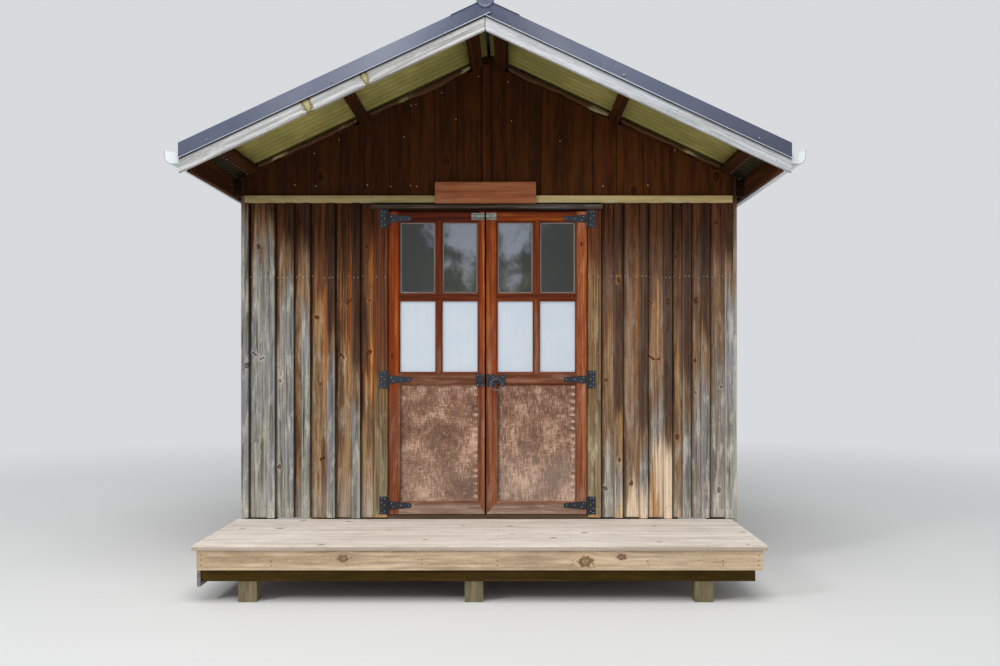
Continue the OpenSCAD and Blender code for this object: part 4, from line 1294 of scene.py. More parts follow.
@dataclass
class FrontWall:
    """Board and batten on one side of the doorway."""

    name: str
    boards: Sequence[Strip]
    battens: Sequence[Strip]
    seed: int
    foot: float = 0.326
    top: float = BAND_Z
    gap: float = 0.0025
    nail_inset: float = 0.016

    def build(self, finishes: Finishes) -> None:
        """Builds the boards, the battens over their joints and the nails."""
        rng = np.random.default_rng(self.seed)
        pile, nails = Pile(), Pile()
        for strip in self.boards:
            board(pile, WALL, (strip.x0 + self.gap / 2, strip.x1 - self.gap / 2),
                  (self.foot + rng.uniform(0, 0.003), self.top), BOARD, strip.wear, rng,
                  random_knots=0.2)
        for strip in self.battens:
            foot = self.foot + rng.uniform(-0.004, 0.001)
            board(pile, FACE, (strip.x0, strip.x1), (foot, self.top), BOARD, strip.wear, rng,
                  radius=0.003, slot=1, random_knots=0.1)
            middle = (strip.x0 + strip.x1) / 2
            pairs = NAIL_PAIR if strip.x1 - strip.x0 > 0.03 else ()
            spots = [(middle + side + rng.uniform(-0.003, 0.003), FACE_Y,
                      row + rng.uniform(-0.006, 0.006)) for row in NAIL_ROWS for side in pairs]
            heads(nails, spots, FRONT, *NAIL)
        self.board_nails(nails, rng)
        pile.piece(f"{self.name}_boards", "house", [finishes.wall, finishes.batten],
                   [f"front_wall_{self.name}"], "wall_timber")
        nails.piece(f"{self.name}_nails", "house", [finishes.nail], slot="bolt_steel")

    def board_nails(self, nails: Pile, rng: np.random.Generator) -> None:
        """Adds the boards' nails: a little inside the edges that the battens leave bare."""
        spots = []
        for strip in self.boards:
            if strip.x1 - strip.x0 < 0.05:
                continue
            left = max([s.x1 for s in self.battens if s.x0 <= strip.x0 + 0.001] + [strip.x0])
            right = min([s.x0 for s in self.battens if s.x1 >= strip.x1 - 0.001] + [strip.x1])
            spots += [(x + rng.uniform(-0.004, 0.004), WALL_Y, row + rng.uniform(-0.008, 0.008))
                      for row in NAIL_ROWS for x in (left + self.nail_inset,
                                                     right - self.nail_inset)]
        heads(nails, spots, FRONT, *NAIL)


LEFT_BATTENS = (
    Strip(-1.530, -1.508, Wear(2.25, 2.18, 0.1, 0.08)),
    batten(-1.368, Wear(2.20, 2.06, 0.0, 0.08, chill=0.3)),
    batten(-1.250, Wear(2.02, 1.82, 0.1, 0.16, chill=0.2)),
    batten(-1.148, Wear(1.98, 1.58, 0.1, 0.16, chill=0.2)),
    batten(-0.991, Wear(1.45, 1.22, 0.1, 0.26, chill=0.3)),
    batten(-0.834, Wear(1.30, 0.98, 0.1, 0.38, chill=0.1)),
)
LEFT_BOARDS = (
    Strip(-1.530, -1.368, Wear(2.24, 2.02, 0.1, 0.04,
                               ((0.50, 2.03), (0.35, 1.354), (0.65, 1.325)))),
    Strip(-1.368, -1.250, Wear(2.03, 1.72, 0.3, -0.06, ((0.45, 0.644), (0.48, 1.185)), gleam=0.3)),
    Strip(-1.250, -1.148, Wear(2.00, 0.45, 0.4, 0.06, lit=0.3, gleam=0.6)),
    Strip(-1.148, -0.991, Wear(1.66, -9.0, 0.5, 0.06, ((0.43, 1.583), (0.64, 0.695), (0.55, 1.165)),
                               lit=1.0, gleam=0.3)),
    Strip(-0.991, -0.834, Wear(1.42, -9.0, 0.8, 0.14, ((0.27, 1.36), (0.78, 1.69), (0.25, 1.69)),
                               lit=0.7, gleam=0.3)),
    Strip(-0.834, -0.701, Wear(1.22, -9.0, 0.8, 0.12, ((0.62, 1.362), (0.50, 2.03), (0.64, 1.69)),
                               lit=1.9, gleam=0.5)),
    Strip(-0.701, -0.659, Wear(1.22)),
)
RIGHT_BATTENS = (
    batten(0.812, Wear(0.90, 0.55, 1.0, 0.06, ((0.5, 1.819), (0.6, 0.69)), 0.5, bare=0.38,
                       gleam=1.0)),
    batten(0.969, Wear(0.86, 0.70, 0.1, 0.08, chill=0.7, bare=0.48, gleam=0.2)),
    batten(1.122, Wear(0.88, -9.0, 0.2, 0.16, chill=0.8, bare=0.74)),
    batten(1.240, Wear(1.15, 0.95, 0.0, 0.10, chill=0.6)),
    batten(1.357, Wear(1.45, 1.15, 0.2, 0.00, chill=0.6)),
    Strip(1.481, 1.530, Wear(1.92, 1.72, 0.1, -0.08, chill=0.15)),
)
RIGHT_BOARDS = (
    Strip(0.642, 0.676, Wear(1.55, chill=0.5)),
    Strip(0.676, 0.812, Wear(1.50, 0.80, 0.4, 0.02, ((0.375, 0.51), (0.44, 1.19)), 0.6,
                             gleam=0.5)),
    Strip(0.812, 0.969, Wear(1.80, 0.20, 0.3, 0.04, chill=1.0, bare=0.46, lit=0.5)),
    Strip(0.969, 1.122, Wear(1.75, 1.05, 0.9, 0.04, ((0.28, 1.335), (0.20, 1.69), (0.62, 1.32)),
                             0.7, bare=0.78, gleam=0.8)),
    Strip(1.122, 1.240, Wear(1.35, -9.0, 0.9, 0.12, ((0.50, 0.83), (0.40, 1.97), (0.30, 1.36)),
                             0.6, bare=0.42, gleam=0.5)),
    Strip(1.240, 1.357, Wear(1.70, 1.20, 0.5, -0.02, ((0.50, 1.69), (0.45, 1.31), (0.50, 1.11)),
                             0.9, gleam=0.4)),
    Strip(1.357, 1.530, Wear(1.85, 1.35, 0.2, -0.08, ((0.50, 0.50), (0.40, 2.18), (0.60, 1.147)),
                             0.9, lit=0.3)),
)


def filled(joints: Sequence[float], gap: float = 0.0) -> list[Span]:
    """Gives the spans between joints, drawn in by half a gap at both ends."""
    return [(a + gap / 2, b - gap / 2) for a, b in zip(joints[:-1], joints[1:])]


@dataclass
class SideWall:
    """Board and batten on a long side, with a corner board at each end."""

    name: str
    side: int
    seed: int
    foot: float = 0.200
    eaves: float = 2.343
    top: float = 2.4624
    pitch: float = 0.157
    first: float = -1.09925
    count: int = 19
    batten: float = 0.050
    cover: Span = (0.0, 0.022)
    rafter: float = 0.045

    def build(self, finishes: Finishes) -> None:
        """Builds the boards, battens, corner boards and nails."""
        rng = np.random.default_rng(self.seed)
        pile, nails = Pile(), Pile()
        out = (float(self.side), 0.0, 0.0)
        place = Place((self.side * WALL_X, 0, 0), out=out)
        low, high = (self.foot, self.eaves), (self.eaves, self.top)
        y0, y1 = WALL_Y + 0.020, BACK_Y - 0.020
        middles = [self.first + i * self.pitch for i in range(self.count)]
        for y in filled([y0] + middles + [y1], 0.003):
            self.plank(pile, place, y, low, BOARD, rng)
        rafters = np.linspace(y0, y1 - self.rafter, 5)
        for a, b in zip(rafters[:-1] + self.rafter + 0.002, rafters[1:] - 0.002):
            for y in filled(np.linspace(a, b, 5), 0.002):
                self.plank(pile, place, y, high, BOARD, rng)
        for middle in middles:
            self.plank(pile, place, (middle - self.batten / 2, middle + self.batten / 2), low,
                       self.cover, rng, slot=1)
            spots = [(self.side * (WALL_X + self.cover[1]), middle + s, row) for row in NAIL_ROWS
                     for s in NAIL_PAIR]
            heads(nails, spots, out, *NAIL)
        wear = Wear(2.25, 2.2 if self.side < 0 else 1.75, 0.1, 0.05, chill=0.5)
        for y, short in (((FACE_Y, FACE_Y + 0.070), (FACE_Y, WALL_Y + 0.018)),
                         ((BACK_Y - 0.050, BACK_Y + 0.020), (BACK_Y - 0.018, BACK_Y + 0.020))):
            self.plank(pile, place, y, low, self.cover, rng, 1, wear)
            self.plank(pile, place, short, high, self.cover, rng, 1, Wear(dark=0.5))
        pile.piece(f"{self.name}_side_boards", "house", [finishes.wall, finishes.batten],
                   [f"{self.name}_wall"], "wall_timber")
        nails.piece(f"{self.name}_side_nails", "house", [finishes.nail], slot="bolt_steel")

    def plank(self, pile: Pile, place: Place, y: Span, z: Span, w: Span,
              rng: np.random.Generator, slot: int = 0, wear: Wear | None = None) -> None:
        """Adds a board between two places along Y: across runs with Y times the side."""
        u = y if self.side > 0 else (-y[1], -y[0])
        grey = float(np.clip(rng.normal(1.35, 0.45), 0.2, 2.2))
        wear = wear or Wear(grey + rng.uniform(0.1, 0.5), grey, rng.uniform(0, 0.8),
                            rng.uniform(0, 0.4), chill=rng.uniform(0.1, 0.8))
        board(pile, place, u, z, w, wear, rng, slot=slot, random_knots=0.6)


@dataclass
class BackWall:
    """Board and batten at the back, up into the gable."""

    seed: int = 31
    foot: float = 0.200
    pitch: float = 0.157
    count: int = 18
    cover_top: float = 2.345

    def build(self, finishes: Finishes) -> None:
        """Builds boards cut on the slope, battens, corner boards and nails."""
        rng = np.random.default_rng(self.seed)
        pile, nails = Pile(), Pile()
        place = Place((0, BACK_Y, 0), out=BACK)
        middles = [(i - (self.count - 1) / 2) * self.pitch for i in range(self.count)]
        for u in filled(sorted([-WALL_X, 0.0, WALL_X] + middles), 0.002):
            gable_board(pile, place, u, self.foot, self.wear(rng), rng)
        gable_filler(pile, place, rng)
        corners = [(-WALL_X, -WALL_X + 0.070), (WALL_X - 0.070, WALL_X)]
        for a, b in [(m - 0.025, m + 0.025) for m in middles] + corners:
            board(pile, place, (a, b), (self.foot, self.cover_top), COVER, self.wear(rng), rng,
                  radius=0.003, slot=1, random_knots=0.3)
            spots = [((a + b) / 2 + s, BACK_Y + 0.020, row) for row in NAIL_ROWS
                     for s in NAIL_PAIR]
            heads(nails, spots, BACK, *NAIL)
        pile.piece("back_boards", "house", [finishes.wall, finishes.batten], ["back_wall"],
                   "wall_timber")
        nails.piece("back_nails", "house", [finishes.nail], slot="bolt_steel")

    def wear(self, rng: np.random.Generator) -> Wear:
        """Gives one board's weathering, greyer than the front's."""
        grey = float(np.clip(rng.normal(1.6, 0.4), 0.4, 2.4))
        return Wear(grey + rng.uniform(0.1, 0.5), grey, rng.uniform(0, 0.7), rng.uniform(0, 0.5))


def gable_board(pile: Pile, place: Place, u: Span, foot: float, wear: Wear,
                rng: np.random.Generator) -> None:
    """Adds an upright board whose top is cut on the slope, a little under the purlins."""
    board(pile, place, u, (foot, under_iron(-0.052)), BOARD, wear, rng, random_knots=0.9)


def gable_filler(pile: Pile, place: Place, rng: np.random.Generator) -> None:
    """Adds the short boards between the purlins, from their underside up to the iron."""
    ends = (under_iron(-0.053), under_iron(-0.012))
    for side in (-1, 1):
        for s0, s1 in ((0.0, 0.063), (0.137, 0.846), (0.920, 1.619)):
            x0, x1 = s0 * COS, s1 * COS
            for a, b in filled(np.linspace(x0, x1, max(2, int((x1 - x0) / 0.14) + 1)), 0.002):
                u = (a, b) if side > 0 else (-b, -a)
                board(pile, place, u, ends, BOARD, Wear(), rng)


@dataclass
class FrontGable:
    """The dark boards over the cream band, their middle batten and the paper's sagging edge."""

    joints: Sequence[float] = (-1.53, -1.394, -1.149, -0.9355, -0.785, -0.628, -0.496, -0.342,
                               -0.201, -0.047, 0.0, 0.012, 0.1065, 0.326, 0.496, 0.651, 0.803,
                               0.973, 1.134, 1.268, 1.380, 1.53)
    nails: Sequence[Span] = (
        (294.7, 185), (315.8, 186), (367.4, 185), (390.5, 186.5), (410.5, 185.5), (416.5, 186.3),
        (339, 139.6), (314.3, 153.3), (403.8, 136.8), (456, 119.2), (441.7, 92.6), (411, 105.3),
        (415.8, 104.2), (478.5, 76.2), (507.6, 81.5), (511.5, 120.7), (560, 141), (603, 186),
        (648, 185), (675, 150))
    batten: Span = (-0.038, 0.012)
    seed: int = 41

    def build(self, finishes: Finishes) -> None:
        """Builds boards, batten, filler boards, nails and paper."""
        rng = np.random.default_rng(self.seed)
        pile, nails, paper = Pile(), Pile(), Pile()
        for a, b in filled(self.joints):
            # Boards darken towards the left: painted shade over the gable's left side.
            wear = Wear(warm=rng.uniform(0, 0.6),
                        dark=rng.uniform(0, 0.22) - 0.42 * min(max(a / 0.8, -1.0), 0.9))
            gable_board(pile, WALL, (a + 0.0012, b - 0.0012), BAND_Z, wear, rng)
        gable_filler(pile, WALL, rng)
        board(pile, WALL, self.batten, (BAND_Z + 0.045, RIDGE_Z - 0.064), COVER,
              Wear(warm=0.7, dark=0.0), rng, radius=0.003)
        spots = [(x, WALL_Y, z) for x, z in (in_photo(*nail) for nail in self.nails)]
        heads(nails, spots, FRONT, 0.0034, 0.0012)
        for side in (1, -1):
            self.paper_edge(paper, side)
        pile.piece("gable_boards", "house", [finishes.gable], ["front_gable"], "dark_timber")
        nails.piece("gable_nails", "house", [finishes.nail], slot="bolt_steel")
        paper.piece("paper_edge", "house", [finishes.paper], slot="cream_timber")

    def paper_edge(self, pile: Pile, side: int) -> None:
        """Adds the edge of the building paper that sags between the purlins.

        Its depth is the square root of a sine from purlin to purlin, with a little waviness.
        """
        for s0, s1, deep in ((0.140, 0.845, 0.026), (0.922, 1.618, 0.012)):
            s = np.linspace(s0, s1, 60)
            t = (s - s0) / (s1 - s0)
            sag = np.sin(np.pi * t) ** 0.5 * (0.6 + 0.4 * np.sin(7 * t + side))
            low = -0.030 - deep * sag - 0.002 * np.sin(31 * t + side)
            rows = []
            for n, y in ((np.full_like(s, -0.011), np.full_like(s, 0.0015)),
                         (low, 0.0015 + 0.004 * sag)):
                x, z = on_slope(s, n)
                rows.append(np.stack([x, WALL_Y - y, z], axis=1))
            front = np.stack(rows)
            shell(pile, front, front + (0, 0.001, 0), mirror=side < 0)


@dataclass
class Surround:
    """Cream band, door trims, drip board and the bare sign."""

    open_x: Span = (-0.635, 0.618)
    trim: float = 0.083
    foot: float = 0.330
    band: float = 0.045
    drip_x: Span = (-0.735, 0.709)
    drip_z: float = 2.262
    drip_out: float = 0.050
    seed: int = 53

    def build(self, finishes: Finishes) -> None:
        """Builds each board round the doorway."""
        rng = np.random.default_rng(self.seed)
        x0, x1 = self.open_x
        band, trims, nails, sign = Pile(), Pile(), Pile(), Pile()
        # The left band board is darker: painted shade over the band's left part.
        for ends, dark in (((-WALL_X, -0.020), 0.36), ((-0.020, WALL_X - 0.005), 0.0)):
            board(band, level(WALL_Y), (-BAND_Z - self.band, -BAND_Z), ends, COVER,
                  Wear(0.1, -0.1, 0.3, dark), rng, radius=0.0025)
        band.piece("band_board", "house", [finishes.cream], ["cream_band"], "cream_timber")
        for x, wear in ((x0 - self.trim, Wear(1.15, 0.80, 0.2, 0.00)),
                        (x1, Wear(1.85, 0.95, 0.3, -0.16, chill=0.5, gleam=0.4))):
            board(trims, WALL, (x, x + self.trim), (self.foot, self.drip_z), COVER, wear, rng,
                  radius=0.003)
        trims.piece("trim_boards", "house", [finishes.trim], ["door_trims"], "wall_timber")
        spots = [(x + dx, FACE_Y, row) for x in (x0 - self.trim, x1) for dx in (0.014, 0.069)
                 for row in NAIL_ROWS]
        heads(nails, spots, FRONT, *NAIL)
        nails.piece("trim_nails", "house", [finishes.nail], slot="bolt_steel")
        self.drip(finishes, rng)
        lo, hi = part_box("sign_board")
        board(sign, level(lo[1]), (-hi[2], -lo[2]), (lo[0], hi[0]), (lo[1] - hi[1], 0.0),
              Wear(0.0, -0.15, 0.5, 0.0), rng, radius=0.004)
        sign.piece("sign_blank", "house", [finishes.sign], ["sign_board"], "sign_timber")

    def drip(self, finishes: Finishes, rng: np.random.Generator) -> None:
        """Builds the drip board: its outline leans forward and its top sheds the rain."""
        pile = Pile()
        outline = [(-self.drip_z, 0.0), (-self.drip_z, self.drip_out),
                   (-BAND_Z + 0.018, self.drip_out), (-BAND_Z + 0.004, 0.0)]
        ring = clockwise(eased(outline + outline[:1], 0.003)[:-1])
        marks = {"grain": grain_of(ring[:, 0] + ring[:, 1], 0.5),
                 **Wear(0.05, -0.12, 0.2, 0.1).marks(rng.random())}
        carried(pile, level(WALL_Y), ring, self.drip_x, marks)
        pile.piece("drip_moulding", "house", [finishes.drip], ["drip_board"], "stump_timber")


@dataclass
class Deck:
    """The deck: six boards, the board across its front, the side board and its nails."""

    x: Span = (-1.570, 1.518)
    y: float = -2.16375
    width: float = 0.138
    gap: float = 0.0055
    thick: float = 0.027
    count: int = 6
    joists: Sequence[float] = (-1.5245, -1.1445, -0.7405, -0.3365, 0.0675, 0.4715, 0.8755,
                               1.2795, 1.4725)
    nail_heights: Sequence[float] = (0.030, 0.054, 0.080)
    knots: Sequence[Span] = ((0.55, 0.540), (0.40, -0.760), (0.32, 0.735))
    seed: int = 67

    def build(self, finishes: Finishes) -> None:
        """Builds the boards, front board, side board and nail heads."""
        rng = np.random.default_rng(self.seed)
        pile, front, side, nails = Pile(), Pile(), Pile(), Pile()
        place = Place((0, 0, DECK), along=RIGHT, out=UP)
        for i in range(self.count):
            y0 = self.y + i * (self.width + self.gap)
            wear = Wear(rng.uniform(-0.2, 0.2), rng.uniform(-0.35, 0.0), rng.uniform(0, 0.4),
                        rng.uniform(0, 0.12))
            board(pile, place, (-y0 - self.width, -y0), self.x, (-self.thick, 0.0), wear, rng,
                  radius=0.003, random_knots=1.2)
            spots = [(x + rng.uniform(-0.004, 0.004), y0 + s, DECK) for x in self.joists
                     for s in (0.028, 0.110)]
            heads(nails, spots, UP, 0.0035, 0.0006)
        pile.piece("deck_planks", "house", [finishes.deck], ["deck_boards"], "deck_timber")
        lo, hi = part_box("deck_fascia")
        board(front, level(lo[1]), (-hi[2], -lo[2]), (lo[0], hi[0]), (lo[1] - hi[1], 0.0),
              Wear(-0.05, -0.35, 0.55, 0.04, self.knots), rng, radius=0.003)
        front.piece("deck_front", "house", [finishes.pine], ["deck_fascia"], "fresh_pine")
        ends = (self.joists[0], self.joists[-1])
        spots = [(x + rng.uniform(-0.003, 0.003), lo[1], lo[2] + h + rng.uniform(-0.005, 0.005))
                 for x in self.joists for h in self.nail_heights[:3 if x in ends else 2]]
        heads(nails, spots, FRONT, 0.0035, 0.001)
        nails.piece("deck_nails", "house", [finishes.nail], slot="bolt_steel")
        lo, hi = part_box("deck_side_board")
        board(side, Place((lo[0], 0, 0), along=BACK, out=(-1.0, 0.0, 0.0)), (lo[2], hi[2]),
              (lo[1], hi[1]), (lo[0] - hi[0], 0.0), Wear(0.1, 0.1, 0.2, 0.1), rng)
        side.piece("deck_side", "house", [finishes.stump], ["deck_side_board"], "stump_timber")


@dataclass
class Roof:
    """Corrugated iron, purlins, barge boards, folded flashings, ridge cap, fascia and gutters.

    Lengths s run down the slope from the ridge and n out from the iron's underside.
    """

    pitch: float = 0.0762
    depth: float = 0.017
    valley: float = -2.08625 + 0.0352 - 0.0762 / 16
    y: Span = (-2.05105, 2.12855)
    s: Span = (0.008, 1.675 / COS)
    purlins: Sequence[float] = (0.100, 0.883, 1.656)
    purlin: Span = (0.035, 0.050)
    barge_x: float = 1.670
    barge: Span = (-0.040, 0.10694)
    barge_in: float = 0.0102
    fascia_x: Span = (1.605, 1.634)
    fascia_foot: float = 2.345
    cap_n: float = 0.0442
    roll: float = 0.048
    cap_lap: float = 0.149
    screw_x: Sequence[float] = (-1.51532, -0.84022, 0.75766, 1.4921)
    gutter: Span = (1.714, 2.430)
    seed: int = 71

    def build(self, finishes: Finishes) -> None:
        """Builds every part of the roof."""
        self.sheets(finishes)
        self.timbers(finishes, np.random.default_rng(self.seed))
        self.flashings(finishes)
        self.ridge(finishes)
        self.gutter_runs(finishes)

    def wave(self, y: Array) -> Array:
        """Gives the iron's height: half its depth times (1 - cosine) of the place in a wave."""
        return self.depth / 2 * (1 - np.cos(2 * np.pi * (y - self.valley) / self.pitch))

    def sheets(self, finishes: Finishes) -> None:
        """Builds the sheets, ten corrugations wide, each lapping one and a half over the next."""
        pile, screws = Pile(), Pile()
        cover = 10 * self.pitch
        crests = self.valley + self.pitch * (np.arange(1, 56, 2) + 0.5)
        crests = crests[np.abs(crests) < 1.9]
        for side in (1, -1):
            for i, start in enumerate(np.arange(self.y[0], self.y[1] - 0.1, cover)):
                end = min(start + cover + 1.5 * self.pitch, self.y[1])
                steps = max(8, int(round((end - start) / self.pitch * 16)))
                y = np.linspace(start, end, steps + 1)
                low = self.wave(y) + (0.0002 if i % 2 == 0 else 0.0011)
                upper, lower = (self.slope_grid(np.linspace(*self.s, 5), y, low + lift)
                                for lift in (0.0008, 0.0))
                shell(pile, upper, lower, 1, mirror=side < 0)
            for s in self.purlins[1:]:
                x, z = on_slope(s, self.depth + 0.0019)
                heads(screws, [(side * x, y, z) for y in crests], (side * SIN, 0, COS), 0.007,
                      0.0045, sides=6)
        pile.piece("corrugated_iron", "house", [finishes.iron, finishes.under],
                   ["roof_left", "roof_right"], "roof_iron")
        screws.piece("roof_screws", "house", [finishes.iron], slot="roof_iron")

    def slope_grid(self, s: Array, y: Array, n: Array) -> Array:
        """Gives points of the right slope on a grid of s down the slope and y."""
        x, z = on_slope(s[:, None], n[None, :])
        return np.stack([x, np.broadcast_to(y, x.shape), z], axis=-1)

    def timbers(self, finishes: Finishes, rng: np.random.Generator) -> None:
        """Builds purlins, barge boards with plumb ends, and fascia boards."""
        purlins, barges, fascias, nails = Pile(), Pile(), Pile(), Pile()
        lie = Place(RIDGE, along=BACK, out=SQUARE)
        wide, thick = self.purlin
        for mirror in (False, True):
            for s in self.purlins:
                wear = Wear(warm=rng.uniform(0.2, 0.9), dark=rng.uniform(0, 0.3))
                board(purlins, lie, (s - wide, s + wide), self.y, (-thick, 0.0), wear, rng,
                      mirror=mirror)
            knots = ((0.62, 1.103), (0.66, 0.755)) if mirror else ()
            wear = Wear(0.02, -0.12, 0.3, 0.0, knots, chill=0.1 if mirror else 0.8)
            for y, out, turn in ((ROOF_Y + self.barge_in, FRONT, 1.0),
                                 (ROOF_END_Y - self.barge_in, BACK, -1.0)):
                place = Place((0.0, y, RIDGE_Z), along=DOWN, out=out)
                ends = (slanted(0.0022 / COS, turn * LEAN),
                        slanted(self.barge_x / COS, turn * LEAN))
                u = self.barge if turn > 0 else (-self.barge[1], -self.barge[0])
                board(barges, place, u, ends, (-0.025, 0.0), wear, rng, mirror=mirror)
            x0, x1 = self.fascia_x
            place = Place((x1, 0, 0), along=BACK, out=RIGHT)
            board(fascias, place, (-slope_z(x1, -0.002), -self.fascia_foot), self.y,
                  (x0 - x1, 0.0), Wear(0.0, -0.2, 0.2, 0.1), rng, mirror=mirror)
        purlins.piece("purlin_timbers", "house", [finishes.purlin], ["purlins"], "dark_timber")
        x, z = on_slope(self.purlins[2] + 0.028, -thick)
        rows = np.linspace(self.y[0] + 0.06, WALL_Y - 0.05, 12)
        heads(nails, [(side * x, y, z) for side in (-1, 1) for y in rows], (0, 0, -1), 0.003,
              0.0014)
        barges.piece("barge_timbers", "house", [finishes.barge], ["barge_boards"],
                     "barge_timber")
        fascias.piece("fascia_timbers", "house", [finishes.fascia], ["fascia_boards"],
                      "fresh_pine")
        heads(nails, [(-0.086, ROOF_Y + self.barge_in, 3.18)], FRONT, 0.004, 0.001)
        nails.piece("barge_nails", "house", [finishes.nail], slot="bolt_steel")

    def flashings(self, finishes: Finishes) -> None:
        """Folds the barge flashings: kicked hem, face, flange over the iron, and lip, with a thin
        bead along the hem that carries a painted highlight.

        The left slope's flashing laps over the right one's at the ridge.
        """
        pile, screws = Pile(), Pile()
        foot = slanted((self.barge_x + 0.002) / COS, by_w=-LEAN)
        for start, sign, proud in ((ROOF_Y, -1.0, 0.0012), (ROOF_END_Y, 1.0, 0.0)):
            place = Place((0.0, start, RIDGE_Z), along=DOWN, out=SQUARE)
            for mirror, y, head in ((False, 0.0022, slanted(0.0005 / COS, by_w=-LEAN)),
                                    (True, 0.0, -0.0146)):
                path = eased([(y, -0.035), (y + 0.006, -0.029), (y + 0.006, 0.042),
                              (0.132, 0.042), (0.146, 0.021)], 0.003) * (sign, 1.0)
                folded(pile, place, path, -sign * SHEET, (head, foot), mirror)
                hem = rounded((y - proud, y + 0.0018), (-0.0372, -0.0338), 0.0013)
                carried(pile, place, clockwise(hem * (sign, 1.0)), (head, foot), slot=1,
                        mirror=mirror)
        pile.piece("flashing_folds", "house", [finishes.iron, finishes.hem],
                   ["barge_flashings"], "roof_iron")
        for x in self.screw_x:
            heads(screws, [(x, ROOF_Y + 0.0062, slope_z(x, -0.012))], FRONT, 0.007, 0.005)
        screws.piece("flashing_screws", "house", [finishes.zinc], slot="bolt_steel")

    def ridge(self, finishes: Finishes) -> None:
        """Folds the ridge cap: wings, a round roll on the ridge, and a dished disc at each end.

        The roll is a circle's arc from minus the pitch to 180 degrees plus the pitch.
        """
        pile = Pile()
        top = float(slope_z(0.0, self.cap_n))
        turn = np.radians(np.linspace(-25, 205, 29))
        roll = np.stack([self.roll * np.cos(turn), top + self.roll * np.sin(turn)], axis=1)
        edge, lip = on_slope(0.187, self.cap_n), on_slope(0.200, 0.021)
        wings = np.concatenate([[edge], roll, [(-edge[0], edge[1])]])
        lipped = np.concatenate([[lip], wings, [(-lip[0], lip[1])]])
        place = Place(along=BACK, out=UP)
        y0, y1 = ROOF_Y + 0.003, ROOF_END_Y - 0.003
        inner = (y0 + self.cap_lap, y1 - self.cap_lap)
        for path, ends in ((wings, (y0, inner[0])), (lipped, inner), (wings, (inner[1], y1))):
            folded(pile, place, path, SHEET, ends)
        for y, way in ((y0, -1.0), (y1, 1.0)):
            self.dish(pile, y, top, way)
        pile.piece("ridge_roll", "house", [finishes.iron], ["ridge_cap"], "roof_iron")

    def dish(self, pile: Pile, y: float, z: float, way: float) -> None:
        """Adds the disc in the roll's end: a profile of radius and depth turned round Y."""
        line = np.array([(0.0464, 0.0), (0.0464, 0.0015), (0.044, 0.0018), (0.038, 0.0006),
                         (0.034, -0.001), (0.012, -0.001), (0.009, -0.0045), (0.0, -0.0045),
                         (0.0, -0.006), (0.0464, -0.006), (0.0464, 0.0)])
        turn = np.linspace(0, 2 * np.pi, 36, endpoint=False)
        r, d = line[:, :1], line[:, 1:]
        x = r * np.cos(turn)
        depth = np.broadcast_to(y + (d - 0.0019) * way, x.shape)
        points = np.stack([x, depth, z + r * np.sin(turn)], axis=-1)
        number = np.arange(x.size).reshape(x.shape)
        ahead = np.roll(number, -1, axis=1)
        quads = np.stack([number[:-1], ahead[:-1], ahead[1:], number[1:]], axis=-1)
        quads = quads.reshape(-1, 4)
        pile.add(points, [quads if way > 0 else quads[:, ::-1]])

    def gutter_runs(self, finishes: Finishes) -> None:
        """Folds the gutters and closes their ends: back, flat sole and a curved front."""
        pile = Pile()
        turn = np.radians(np.linspace(-90, 0, 13))
        curve = np.array(self.gutter) + 0.042 * np.stack([np.cos(turn), np.sin(turn)], axis=1)
        body = [(1.634, 2.388), *curve, (1.756, 2.456), (1.760, 2.465)]
        path, cap = np.array([(1.634, 2.460)] + body), clockwise(np.array([(1.634, 2.435)] + body))
        place = Place(along=BACK, out=UP)
        y0, y1 = self.y[0] + 0.002, self.y[1] - 0.002
        for mirror in (False, True):
            folded(pile, place, path, SHEET, (y0, y1), mirror)
            for y in (y0, y1 - 0.002):
                carried(pile, place, cap, (y, y + 0.002), mirror=mirror)
        pile.piece("gutter_runs", "house", [finishes.white], ["gutters"], "gutter_white")


